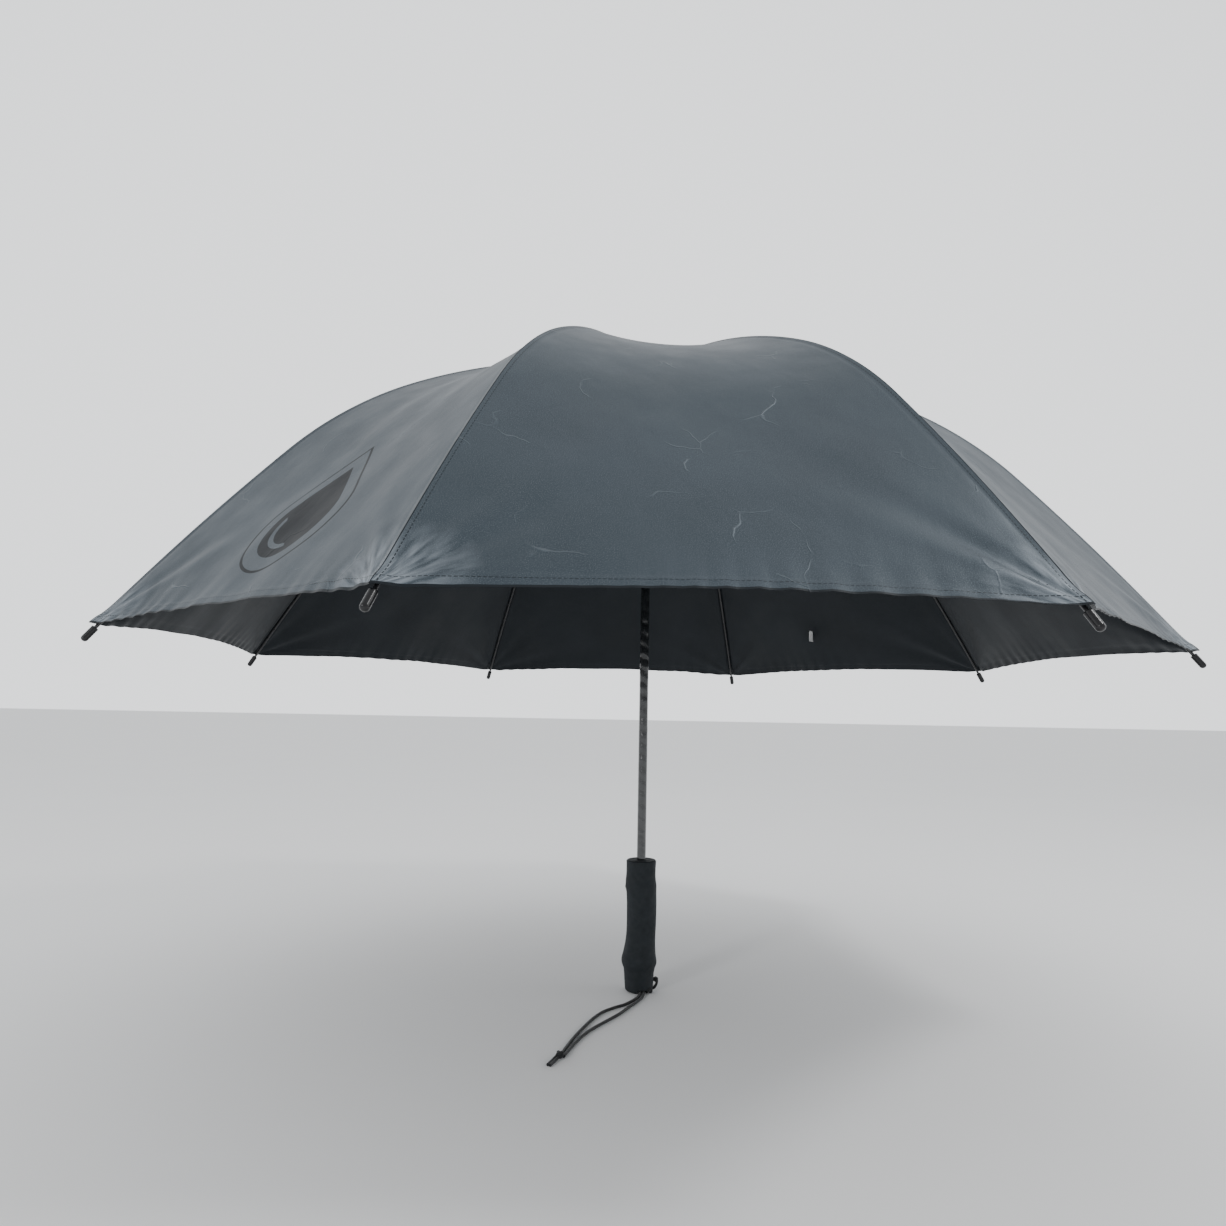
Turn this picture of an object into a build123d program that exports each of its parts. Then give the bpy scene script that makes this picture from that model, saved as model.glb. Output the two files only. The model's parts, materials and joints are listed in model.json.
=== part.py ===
"""Straight hand-held umbrella, open, standing on the end of its grip.

Origin: centre of the grip's end, +Z up the shaft. Rib 1 is at azimuth first_rib_angle and the
ribs follow counter-clockwise. Each rib group is drawn in the XZ plane, as if its azimuth were 0,
and then turned into place. Lengths are in millimetres and angles in degrees.
"""

from build123d import *
import os
from math import atan2, cos, degrees, hypot, radians, sin, sqrt, tan

os.makedirs("parts", exist_ok=True)

# ---- driving sizes ---------------------------------------------------------------------------
rib_count = 8
first_rib_angle = -112.5

# Rib line at rest: radii from the shaft axis, and slopes below the horizontal at those radii.
shoulder_r = 238.0
knee_r = 335.0
hem_r = 464.0
crown_slope = 1.5
shoulder_slope = 27.0
knee_slope = 47.5
hem_slope = 52.8

# Folded position: angles below the horizontal of the inner rib's pivot line and the outer rib's chord.
arm_folded_angle = 88.0
outer_folded_angle = 88.0

# Shaft and grip.
shaft_r = 4.3
shaft_wall = 0.8
grip_length = 120.0
grip_bore_depth = 106.0
grip_top_r = 14.4
grip_neck_r = 13.6
grip_knuckle_r = 17.3
grip_foot_r = 13.6

# Inner rib: a channel with a fork at its outer end and a flat eye at the crown.
channel_width = 4.4
channel_height = 2.8
channel_wall = 0.8
eye_r = 1.5
eye_thickness = 2.0
eye_length = 6.0
fork_length = 13.0
arm_back = 7.0  # the stretcher's rivet is this far inside the outer rib's rivet
arm_drop = 4.6  # and this far below the rib line
rivet_r = 0.9
rivet_head_r = 1.6
rivet_head_t = 0.5
cheek_r = 2.3

# Outer rib and its cap.
rod_r = 1.3
blade_thickness = 2.2
blade_length = 5.0
cap_r = 2.6
cap_length = 12.7
cap_socket = 8.0

# Stretchers.
stretcher_thickness = 2.2
stretcher_height = 2.6
stretcher_groove = 1.5
stretcher_land = 8.0  # solid length at each end of the groove
trunnion_r = 0.6
trunnion_half = 2.2

# Crown hub, wire, washer and ferrule.
hub_rim = 1.8  # beyond the hinges
hub_up = 1.4
hub_down = 2.4
collar_wall = 1.9
collar_down = 11.0
wire_r = 0.6
washer_rim = 3.2  # beyond the hub
washer_t = 1.2
ferrule_wall = 1.3
ferrule_flange = 2.9
ferrule_flange_t = 1.6
ferrule_height = 25.0
pin_r = 0.75

# Runner.
runner_wall = 1.5
runner_rim = 2.0  # beyond the trunnions
runner_head_half = 3.5
runner_skirt = 20.0
parking_gap = 2.0
runner_rings = 4
ring_groove_r = 0.6
ring_pitch = 2.4

# Spring catches.
catch_thickness = 1.6
catch_length = 20.0
catch_reach = 2.0
catch_nose = 10.5
bottom_catch_drop = 15.0  # its flat face is this far below the parked runner's pivots
window_height = 9.4

# Canopy.
fabric_t = 0.5
canopy_hole_gap = 1.1  # from the shaft
hem_sag = 11.0
gore_gap = 0.15

# Wrist cord.
cord_r = 1.3
knot_r = 3.6
tail_length = 16.0
tail_width = 4.2
tail_height = 2.2
surface_gap = 0.05  # the cord lies this far above the surface under the grip

# ---- clearances ------------------------------------------------------------------------------
glue_gap = 0.05
running_gap = 0.3
pin_gap = 0.1
slot_gap = 0.3
rib_to_fabric = 0.8
wire_gap = 0.25
eye_gap = 0.4  # between the runner's sleeve and the stretchers' eyes
cord_gap = 0.5

# ---- sizes that follow the shaft and the cord ------------------------------------------------
hinge_r = shaft_r + running_gap + runner_wall + eye_gap + eye_r
hub_r = hinge_r + hub_rim
collar_r = shaft_r + collar_wall
washer_r = hub_r + washer_rim
ferrule_r = shaft_r + ferrule_wall
ferrule_flange_r = ferrule_r + ferrule_flange
runner_head_r = hinge_r + runner_rim
canopy_hole_r = shaft_r + canopy_hole_gap
cord_hole_r = cord_r + cord_gap

# ---- rib geometry ----------------------------------------------------------------------------
half_gore = 180 / rib_count


def sind(angle):
    return sin(radians(angle))


def cosd(angle):
    return cos(radians(angle))


class RibArc:
    """One tangent arc of the rib line, from a start point, between two slopes."""

    def __init__(self, start, start_slope, end_r, end_slope):
        self.slopes = (start_slope, end_slope)
        self.radius = (end_r - start[0]) / (sind(end_slope) - sind(start_slope))
        self.centre = (
            start[0] - self.radius * sind(start_slope),
            start[1] - self.radius * cosd(start_slope),
        )
        self.end = self.at(end_slope)

    def at(self, slope, out=0.0):
        """The point of that slope, moved out from the rib line along its normal."""
        reach = self.radius + out
        return (self.centre[0] + reach * sind(slope), self.centre[1] + reach * cosd(slope))

    def slope_at(self, length):
        """The slope at a distance back from the arc's end."""
        return self.slopes[1] - degrees(length / self.radius)

    def middle(self, out=0.0, first=None, last=None):
        """The point half way between two slopes."""
        low = self.slopes[0] if first is None else first
        high = self.slopes[1] if last is None else last
        return self.at((low + high) / 2, out)


def pivot_line(hinge):
    """The stretcher's pivot on a rib that hangs from hinge, its distance and its angle."""
    arc = RibArc(hinge, crown_slope, shoulder_r, shoulder_slope)
    pivot = arc.at(arc.slope_at(arm_back), -arm_drop)
    across, down = pivot[0] - hinge[0], hinge[1] - pivot[1]
    return pivot, hypot(across, down), degrees(atan2(down, across))


# The crown's height follows from the parked runner, because the two arms are equally long.
arm, arm_angle = pivot_line((hinge_r, 0.0))[1:]
park_z = grip_length + parking_gap + runner_skirt
hinge_z = park_z + 2 * arm * sind(arm_folded_angle)
runner_z = hinge_z - 2 * arm * sind(arm_angle)
travel = runner_z - park_z
fold_turn = arm_folded_angle - arm_angle

hinge = (hinge_r, hinge_z)
inner_arc = RibArc(hinge, crown_slope, shoulder_r, shoulder_slope)
knee_arc = RibArc(inner_arc.end, shoulder_slope, knee_r, knee_slope)
outer_arc = RibArc(knee_arc.end, knee_slope, hem_r, hem_slope)
shoulder, knee, hem = inner_arc.end, knee_arc.end, outer_arc.end
pivot = pivot_line(hinge)[0]
outer_chord_angle = degrees(atan2(shoulder[1] - hem[1], hem[0] - shoulder[0]))
flex_turn = outer_chord_angle + fold_turn - outer_folded_angle

shaft_bottom = grip_length - grip_bore_depth
washer_z = hinge_z + channel_height / 2 + rib_to_fabric + fabric_t + 0.35
ferrule_z = washer_z + washer_t
shaft_top = ferrule_z + ferrule_height - 7.0
fabric_in = channel_height / 2 + rib_to_fabric
fabric_out = fabric_in + fabric_t
runner_bore_r = shaft_r + running_gap
sleeve_r = runner_bore_r + runner_wall
fork_gap = channel_width - 2 * channel_wall
catch_pivot_y = 0.55
top_catch_z = runner_z - runner_skirt - running_gap
bottom_catch_z = park_z - bottom_catch_drop
stop_z = runner_z + runner_head_half + running_gap + pin_r


def outward(slope):
    """The plane across the rib line at a slope, looking towards the hem."""
    return Vector(cosd(slope), 0, -sind(slope))


def write(part, name):
    part.label = name
    export_step(part, f"parts/{name}.step")


def rib_azimuth(number):
    return first_rib_angle + (number - 1) * 360 / rib_count


def write_round(solids, name):
    """One copy for each rib, turned to that rib's azimuth. Touching solids stay separate."""
    for number in range(1, rib_count + 1):
        turned = [solid.rotate(Axis.Z, rib_azimuth(number)) for solid in solids]
        write(Compound(turned), f"{name}_{number}")


def arc_band(arcs, high, low, ends):
    """A band along the rib line between two offsets. ends are the first and last slopes."""
    spans = [list(a.slopes) for a in arcs]
    spans[0][0], spans[-1][1] = ends
    for side, reverse in ((high, False), (low, True)):
        pairs = list(zip(arcs, spans))
        for arc, (first, last) in pairs[::-1] if reverse else pairs:
            points = [arc.at(first, side), arc.middle(side, first, last), arc.at(last, side)]
            ThreePointArc(*(points[::-1] if reverse else points))
    Line(arcs[-1].at(ends[1], high), arcs[-1].at(ends[1], low))
    Line(arcs[0].at(ends[0], high), arcs[0].at(ends[0], low))


# ---- shaft -----------------------------------------------------------------------------------
def catch_slot(z, up):
    """Height range of the shaft's slot for a catch whose nose has its flat face at z."""
    return (z - catch_nose - 2.5, z + 1.2) if up else (z - 1.2, z + catch_nose + 2.5)


catch_pivots = (top_catch_z - catch_length, bottom_catch_z + catch_length)

with BuildPart() as shaft_tube:
    with BuildSketch(Plane.XY.offset(shaft_bottom)):
        Circle(shaft_r)
        Circle(shaft_r - shaft_wall, mode=Mode.SUBTRACT)
    extrude(amount=shaft_top - shaft_bottom)
    for low, high in (catch_slot(top_catch_z, True), catch_slot(bottom_catch_z, False)):
        with BuildSketch(Plane.XZ.offset(-shaft_r - 1)):
            with Locations((0, (low + high) / 2)):
                SlotOverall(high - low, catch_thickness + 2 * slot_gap, rotation=90)
        extrude(amount=shaft_r + 1, mode=Mode.SUBTRACT)
    with BuildSketch(Plane.YZ):
        with Locations(*[(catch_pivot_y, z) for z in catch_pivots]):
            Circle(pin_r + glue_gap)
        with Locations((0, stop_z), (0, hinge_z - collar_down / 2 - hub_down)):
            Circle(pin_r + glue_gap)
    extrude(amount=shaft_r + 1, both=True, mode=Mode.SUBTRACT)
write(shaft_tube.part, "shaft_tube")

with BuildPart() as shaft_plug:
    with BuildSketch(Plane.XY.offset(shaft_bottom)):
        Circle(shaft_r - shaft_wall - glue_gap)
    extrude(amount=16)
    chamfer(shaft_plug.faces().sort_by(Axis.Z)[-1].edges(), 0.8)
write(shaft_plug.part, "shaft_plug")

with BuildPart() as catch_pins:
    with BuildSketch(Plane.YZ):
        with Locations(*[(catch_pivot_y, z) for z in catch_pivots]):
            Circle(pin_r)
    extrude(amount=shaft_r - 0.15, both=True)
write(catch_pins.part, "catch_pins")

with BuildPart() as stop_pin:
    with BuildSketch(Plane.YZ):
        with Locations((0, stop_z)):
            Circle(pin_r)
    extrude(amount=shaft_r + 1.3, both=True)
write(stop_pin.part, "stop_pin")


def spring_catch(face_z, up):
    """A flat lever with a ramped nose. Its flat face is at face_z and its pivot is up or down."""
    turn = 1 if up else -1
    tip = shaft_r + catch_reach
    outline = [
        (0.2, 0),
        (tip, 0),
        (tip, -1.6),
        (shaft_r - 1.1, -catch_nose),
        (2.0, -catch_nose - 1.5),
        (2.0, -catch_length),
        (-0.9, -catch_length),
        (-0.9, -2.0),
    ]
    with BuildPart() as lever:
        with BuildSketch(Plane.YZ):
            with BuildLine():
                Polyline(*[(y, face_z + turn * z) for y, z in outline], close=True)
            make_face()
            with Locations((catch_pivot_y, face_z - turn * catch_length)):
                Circle(1.45)
                Circle(pin_r + pin_gap, mode=Mode.SUBTRACT)
        extrude(amount=catch_thickness / 2, both=True)
        nose = lever.edges().filter_by(Axis.X).group_by(Axis.Y)[-1]
        fillet(nose, 0.5)
    return lever.part


write(spring_catch(top_catch_z, True), "top_catch")
write(spring_catch(bottom_catch_z, False), "bottom_catch")

# ---- crown -----------------------------------------------------------------------------------
pin_z = hinge_z - collar_down / 2 - hub_down

with BuildPart() as crown_hub:
    with BuildSketch(Plane.XY.offset(hinge_z - hub_down)):
        Circle(hub_r)
    extrude(amount=hub_up + hub_down)
    with BuildSketch(Plane.XY.offset(hinge_z - collar_down)):
        Circle(collar_r)
    extrude(amount=collar_down)
    fillet(crown_hub.edges().filter_by(GeomType.CIRCLE).group_by(Axis.Z)[0], 0.6)
    with BuildSketch(Plane.XY.offset(hinge_z - collar_down - 1)):
        Circle(shaft_r + glue_gap)
    extrude(amount=collar_down + hub_up + 2, mode=Mode.SUBTRACT)
    slot_root = hinge_r - eye_r - 0.6
    with BuildSketch(Plane.XY.offset(hinge_z - hub_down - 1)):
        with PolarLocations(0, rib_count, start_angle=first_rib_angle):
            with Locations((slot_root + hub_r / 2, 0)):
                Rectangle(hub_r, eye_thickness + 2 * slot_gap)
    extrude(amount=hub_up + hub_down + 2, mode=Mode.SUBTRACT)
    with BuildSketch(Plane.XZ):
        with Locations((hinge_r, hinge_z)):
            Circle(wire_r + glue_gap)
    revolve(axis=Axis.Z, mode=Mode.SUBTRACT)
    with BuildSketch(Plane.YZ):
        with Locations((0, pin_z)):
            Circle(pin_r + glue_gap)
    extrude(amount=collar_r + 1, both=True, mode=Mode.SUBTRACT)
write(crown_hub.part, "crown_hub")

with BuildPart() as crown_wire:
    with BuildSketch(Plane.XZ):
        with Locations((hinge_r, hinge_z)):
            Circle(wire_r)
    revolve(axis=Axis.Z)
write(crown_wire.part, "crown_wire")

with BuildPart() as crown_pin:
    with BuildSketch(Plane.YZ):
        with Locations((0, pin_z)):
            Circle(pin_r)
    extrude(amount=collar_r, both=True)
write(crown_pin.part, "crown_pin")

with BuildPart() as crown_washer:
    with BuildSketch(Plane.XY.offset(washer_z)):
        Circle(washer_r)
        Circle(shaft_r + glue_gap, mode=Mode.SUBTRACT)
    extrude(amount=washer_t)
    fillet(crown_washer.faces().sort_by(Axis.Z)[-1].edges().sort_by(SortBy.LENGTH)[-1], 0.8)
write(crown_washer.part, "crown_washer")

with BuildPart() as ferrule:
    with BuildSketch(Plane.XY.offset(ferrule_z)):
        Circle(ferrule_flange_r)
    extrude(amount=ferrule_flange_t)
    fillet(ferrule.faces().sort_by(Axis.Z)[-1].edges(), 0.7)
    with BuildSketch(Plane.XY.offset(ferrule_z + ferrule_flange_t)):
        Circle(ferrule_r)
    extrude(amount=ferrule_height - ferrule_flange_t)
    fillet(ferrule.faces().sort_by(Axis.Z)[-1].edges(), 3.2)
    with BuildSketch(Plane.XY.offset(ferrule_z - 1)):
        Circle(shaft_r + glue_gap)
    extrude(amount=shaft_top + glue_gap - ferrule_z + 1, mode=Mode.SUBTRACT)
write(ferrule.part, "ferrule")

# ---- runner ----------------------------------------------------------------------------------
with BuildPart() as runner:
    with BuildSketch(Plane.XY.offset(runner_z - runner_skirt)):
        Circle(sleeve_r)
    extrude(amount=runner_skirt + runner_head_half)
    with BuildSketch(Plane.XY.offset(runner_z - runner_head_half)):
        Circle(runner_head_r)
    extrude(amount=2 * runner_head_half)
    fillet(runner.edges().filter_by(GeomType.CIRCLE).sort_by(SortBy.LENGTH)[-2:], 0.8)
    for ring in range(1, runner_rings + 1):
        with BuildSketch(Plane.XZ):
            with Locations((sleeve_r + ring_groove_r / 3, runner_z - runner_skirt + ring_pitch * ring)):
                Circle(ring_groove_r)
        revolve(axis=Axis.Z, mode=Mode.SUBTRACT)
    with BuildSketch(Plane.XY.offset(runner_z - runner_skirt - 1)):
        Circle(runner_bore_r)
    extrude(amount=runner_skirt + runner_head_half + 2, mode=Mode.SUBTRACT)
    slot_width = stretcher_thickness + 2 * slot_gap
    with BuildSketch(Plane.XY.offset(runner_z - runner_head_half - 1)):
        with PolarLocations(0, rib_count, start_angle=first_rib_angle):
            with Locations((sleeve_r + 0.1 + runner_head_r / 2, 0)):
                Rectangle(runner_head_r, slot_width)
    extrude(amount=2 * runner_head_half + 2, mode=Mode.SUBTRACT)
    groove = trunnion_r + slot_gap
    with BuildSketch(Plane.XY.offset(runner_z - runner_head_half - 1)):
        with PolarLocations(0, rib_count, start_angle=first_rib_angle):
            with Locations((hinge_r, 0)):
                Rectangle(2 * groove, 2 * (trunnion_half + slot_gap))
    extrude(amount=runner_head_half + 1 + groove, mode=Mode.SUBTRACT)
    window_low = runner_z - bottom_catch_drop - 2 * running_gap
    with BuildSketch(Plane.XZ.offset(-sleeve_r - 1)):
        with Locations((0, window_low + window_height / 2)):
            SlotOverall(window_height, catch_thickness + 4 * slot_gap, rotation=90)
    extrude(amount=sleeve_r, mode=Mode.SUBTRACT)
write(runner.part, "runner")


# ---- ribs ------------------------------------------------------------------------------------
with BuildPart() as channel:
    eye_slope = inner_arc.slopes[0] + degrees(eye_length / inner_arc.radius)
    half = channel_height / 2
    with BuildSketch(Plane.XZ):
        with BuildLine():
            arc_band([inner_arc], half, -half, (eye_slope, shoulder_slope))
        make_face()
        with BuildSketch(mode=Mode.PRIVATE) as cheek:
            cheek_drop = cheek_r - channel_height / 2
            fork_root = inner_arc.at(inner_arc.slope_at(fork_length), -cheek_drop)
            with Locations(inner_arc.at(shoulder_slope, -cheek_drop), pivot, fork_root):
                Circle(cheek_r)
            make_hull()
        add(cheek.sketch)
    extrude(amount=channel_width / 2, both=True)
    with BuildSketch(Plane.XZ):
        with BuildLine():
            groove_end = inner_arc.slope_at(fork_length - 1)
            groove_start = inner_arc.slopes[0] + degrees(2 * eye_length / inner_arc.radius)
            arc_band([inner_arc], half - channel_wall, -half - 0.5, (groove_start, groove_end))
        make_face()
    extrude(amount=fork_gap / 2, both=True, mode=Mode.SUBTRACT)
    slot_end = inner_arc.at(inner_arc.slope_at(fork_length), 0)
    with BuildSketch(Plane.XZ):
        with Locations(Location((*slot_end, 0), (0, 0, -shoulder_slope))):
            Rectangle(4 * fork_length, 8 * channel_height, align=(Align.MIN, Align.CENTER))
    extrude(amount=fork_gap / 2, both=True, mode=Mode.SUBTRACT)
    with BuildSketch(Plane.XZ):
        with BuildLine():
            first = inner_arc.slopes[0]
            arc_band([inner_arc], half, -half, (first, eye_slope + 0.1))
        make_face()
        with Locations(hinge):
            Circle(eye_r)
    extrude(amount=eye_thickness / 2, both=True)
    with BuildSketch(Plane.XZ):
        with Locations(hinge):
            Circle(wire_r + wire_gap)
        with Locations(shoulder, pivot):
            Circle(rivet_r + glue_gap)
    extrude(amount=channel_width, both=True, mode=Mode.SUBTRACT)

with BuildPart() as rivets:
    half = channel_width / 2
    with BuildSketch(Plane.XZ):
        with Locations(shoulder, pivot):
            Circle(rivet_r)
    extrude(amount=half, both=True)
    for side in (1, -1):
        with BuildSketch(Plane.XZ.offset(side * half)):
            with Locations(shoulder, pivot):
                Circle(rivet_head_r)
        extrude(amount=side * rivet_head_t)

write_round(channel.solids() + rivets.solids(), "inner_rib")

with BuildPart() as outer_rib:
    blade_end = shoulder_slope + degrees(blade_length / knee_arc.radius)
    rod_start = shoulder_slope + degrees((blade_length - 1.2) / knee_arc.radius)
    with BuildSketch(Plane.XZ):
        with BuildLine():
            arc_band([knee_arc], rod_r, -rod_r, (shoulder_slope, blade_end))
        make_face()
        with Locations(shoulder):
            Circle(eye_r)
    extrude(amount=blade_thickness / 2, both=True)
    with BuildLine() as rib_line:
        start = knee_arc.at(rod_start)
        mid = knee_arc.middle(0, rod_start, knee_slope)
        end = (hem[0] + cap_socket * cosd(hem_slope), hem[1] - cap_socket * sind(hem_slope))
        ThreePointArc(*[(x, 0, z) for x, z in (start, mid, knee)])
        ThreePointArc(*[(x, 0, z) for x, z in (knee, outer_arc.middle(), hem)])
        Line((hem[0], 0, hem[1]), (end[0], 0, end[1]))
    with BuildSketch(Plane(origin=(start[0], 0, start[1]), z_dir=outward(rod_start))):
        Circle(rod_r)
    sweep(path=rib_line.wire())
    with BuildSketch(Plane.XZ):
        with Locations(shoulder):
            Circle(rivet_r + pin_gap)
    extrude(amount=channel_width, both=True, mode=Mode.SUBTRACT)
write_round(outer_rib.solids(), "outer_rib")

with BuildPart() as tip_cap:
    cap_plane = Plane(origin=(hem[0], 0, hem[1]), z_dir=outward(hem_slope))
    with BuildSketch(cap_plane):
        Circle(cap_r)
    extrude(amount=cap_length)
    rims = tip_cap.edges().filter_by(GeomType.CIRCLE).sort_by(Axis.Z)
    fillet(rims[0], cap_r - 0.2)
    fillet(tip_cap.edges().filter_by(GeomType.CIRCLE).sort_by(Axis.Z)[-1], 0.5)
    with BuildSketch(cap_plane):
        Circle(rod_r + glue_gap)
    extrude(amount=cap_socket + glue_gap, mode=Mode.SUBTRACT)
write_round(tip_cap.solids(), "tip_cap")

# ---- stretchers ------------------------------------------------------------------------------
with BuildPart() as stretcher:
    inner_end = Vector(hinge_r, runner_z)
    along = Vector(cosd(arm_angle), sind(arm_angle))
    middle = inner_end + along * (arm / 2)
    with BuildSketch(Plane.XZ):
        with Locations(Location((middle.X, middle.Y, 0), (0, 0, arm_angle))):
            Rectangle(arm, stretcher_height)
        with Locations((inner_end.X, inner_end.Y), pivot):
            Circle(eye_r)
    extrude(amount=stretcher_thickness / 2, both=True)
    below = Vector(sind(arm_angle), -cosd(arm_angle)) * (stretcher_height / 2)
    with BuildSketch(Plane.XZ):
        with Locations(Location(((middle + below).X, (middle + below).Y, 0), (0, 0, arm_angle))):
            Rectangle(arm - 2 * stretcher_land, 2 * stretcher_groove)
    extrude(amount=stretcher_thickness / 4, both=True, mode=Mode.SUBTRACT)
    with BuildSketch(Plane.XZ):
        with Locations((inner_end.X, inner_end.Y)):
            Circle(trunnion_r)
    extrude(amount=trunnion_half, both=True)
    with BuildSketch(Plane.XZ):
        with Locations(pivot):
            Circle(rivet_r + pin_gap)
    extrude(amount=channel_width, both=True, mode=Mode.SUBTRACT)
write_round(stretcher.solids(), "stretcher")


# ---- canopy ----------------------------------------------------------------------------------
def gore_profile(out):
    """Seven points of the mid-gore section, at an offset from the ribs."""
    squeeze = cosd(half_gore)
    first = degrees(
        atan2(
            canopy_hole_r - inner_arc.centre[0],
            sqrt((inner_arc.radius + out) ** 2 - (canopy_hole_r - inner_arc.centre[0]) ** 2),
        )
    )
    spans = ((inner_arc, first, shoulder_slope), (knee_arc, shoulder_slope, knee_slope))
    spans += ((outer_arc, knee_slope, hem_slope),)
    points = [inner_arc.at(first, out)]
    for arc, low, high in spans:
        points += [arc.at((low + high) / 2, out), arc.at(high, out)]
    return [(x * squeeze, z) for x, z in points]


def gore_arcs(points):
    for first in (0, 2, 4):
        ThreePointArc(*points[first : first + 3])


with BuildPart() as canopy:
    gore_plane = Plane(
        (0, 0, 0), x_dir=(cosd(half_gore), sind(half_gore), 0), z_dir=(sind(half_gore), -cosd(half_gore), 0)
    )
    top, bottom = gore_profile(fabric_out), gore_profile(fabric_in)
    with BuildSketch(gore_plane.offset(gore_gap)):
        with BuildLine():
            gore_arcs(top)
            gore_arcs(bottom)
            Line(top[0], bottom[0])
            Line(top[-1], bottom[-1])
        make_face()
    extrude(amount=hem_r * sind(half_gore) + 5)
    hem_mid = Vector(hem[0] * cosd(half_gore), hem[1])
    across = Vector(-sind(half_gore), cosd(half_gore), 0)
    outer_slope = degrees(atan2(tan(radians(hem_slope)), cosd(half_gore)))
    normal = Vector(
        sind(outer_slope) * cosd(half_gore), sind(outer_slope) * sind(half_gore), cosd(outer_slope)
    )
    origin = (hem_mid.X * cosd(half_gore), hem_mid.X * sind(half_gore), hem_mid.Y)
    hem_plane = Plane(origin=origin, x_dir=across, z_dir=normal)
    half_hem = hem_r * sind(half_gore)
    with BuildSketch(hem_plane):
        with BuildLine():
            ThreePointArc((-half_hem - 9, -1), (0, hem_sag), (half_hem + 9, -1))
            Polyline(
                (half_hem + 9, -1), (half_hem + 9, -14), (-half_hem - 9, -14), (-half_hem - 9, -1)
            )
        make_face()
    extrude(amount=12, both=True, mode=Mode.SUBTRACT)
    split(bisect_by=Plane.XZ, keep=Keep.BOTTOM)
    mirror(about=Plane.XZ)
write_round(canopy.solids(), "canopy")

# ---- things sewn to the canopy ---------------------------------------------------------------
strap_rib, strap_width, strap_t = 6, 14.0, 1.2
with BuildPart() as tie_strap:
    strap_in = fabric_out + 0.4
    with BuildSketch(Plane.XZ):
        with BuildLine():
            ends = (knee_slope + 0.4, knee_slope + 3.2)
            arc_band([outer_arc], strap_in + strap_t, strap_in, ends)
        make_face()
    extrude(amount=strap_width / 2, both=True)
    stud = outer_arc.at(ends[1] - 0.25, strap_in + strap_t)
    stud_slope = ends[1] - 0.25
    facing = Plane(origin=(stud[0], 0, stud[1]), z_dir=(sind(stud_slope), 0, cosd(stud_slope)))
    with BuildSketch(facing.offset(-strap_t / 2)):
        Circle(4.5)
    extrude(amount=strap_t / 2 + 1.0)
with BuildPart() as placed_strap:
    add(tie_strap.part, rotation=(0, 0, rib_azimuth(strap_rib)))
write(placed_strap.part, "tie_strap")

label_rib, label_offset = 5, -19.5
label_width, label_drop, label_t = 12.0, 14.0, 0.4
with BuildPart() as care_label:
    slope = knee_slope + 3.4
    root = outer_arc.at(slope, fabric_in)
    label_at = (root[0] * cosd(half_gore) - 3.0, root[1] - 2.5)
    with BuildSketch(Plane.XZ):
        with Locations(label_at):
            Rectangle(label_width, label_drop, align=(Align.MAX, Align.MAX))
    extrude(amount=label_t / 2, both=True)
with BuildPart() as placed_label:
    add(care_label.part, rotation=(0, 0, rib_azimuth(label_rib) + label_offset))
write(placed_label.part, "care_label")

# ---- grip ------------------------------------------------------------------------------------
cord_side = (13.4, 12.0)  # x and z of the cord hole's mouth on the grip's side
cord_foot = (4.5, 1.6)  # x and z of its mouth in the end channel
channel_x = 1.6
channel_w = 2 * cord_r + 5.0
channel_h = 2 * (cord_r + cord_gap)

with BuildPart() as grip:
    top = grip_length
    with BuildSketch(Plane.XZ):
        with BuildLine():
            Polyline((0, 0), (grip_foot_r - 4.5, 0))
            RadiusArc((grip_foot_r - 4.5, 0), (grip_foot_r, 4.5), -4.5)
            Spline(
                (grip_foot_r, 4.5),
                (grip_foot_r + 0.5, 0.12 * top),
                (grip_knuckle_r, 0.217 * top),
                (grip_neck_r + 0.6, 0.33 * top),
                (grip_neck_r, 0.42 * top),
                (grip_top_r + 0.1, 0.66 * top),
                (grip_top_r + 0.7, 0.79 * top),
                (grip_top_r - 0.3, 0.86 * top),
                (grip_top_r, top - 1.2),
                tangents=((0, 1), (0, 1)),
            )
            Polyline((grip_top_r, top - 1.2), (grip_top_r - 1.2, top), (0, top), (0, 0))
        make_face()
    revolve(axis=Axis.Z)
    with BuildSketch(Plane.XY.offset(shaft_bottom - glue_gap)):
        Circle(shaft_r + glue_gap)
    extrude(amount=grip_length, mode=Mode.SUBTRACT)
    with BuildSketch(Plane.XY.offset(-1)):
        with Locations((channel_x, 0)):
            Rectangle(channel_w, grip_foot_r + 3, align=(Align.CENTER, Align.MAX))
        with Locations((channel_x - channel_w / 2, 0)):
            Rectangle(grip_foot_r + 5, channel_w, align=(Align.MIN, Align.CENTER))
    extrude(amount=channel_h + 1, mode=Mode.SUBTRACT)
    drill = Vector(cord_side[0] - cord_foot[0], 0, cord_side[1] - cord_foot[1])
    with BuildSketch(Plane(origin=(cord_foot[0], 0, cord_foot[1]), z_dir=drill)):
        Circle(cord_hole_r)
    extrude(amount=drill.length + 8, mode=Mode.SUBTRACT)
write(grip.part, "grip")


# ---- wrist cord ------------------------------------------------------------------------------
def corner_radii(points, most=60.0):
    """For each corner, 0.45 of its shorter run divided by the tangent of half its turn."""
    radii = []
    for before, at, after in zip(points, points[1:], points[2:]):
        into, out = Vector(at) - Vector(before), Vector(after) - Vector(at)
        turn = into.get_angle(out)
        shorter = min(into.length, out.length)
        radii.append(min(most * 10, 0.45 * shorter / tan(radians(turn / 2))))
    return radii


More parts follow.
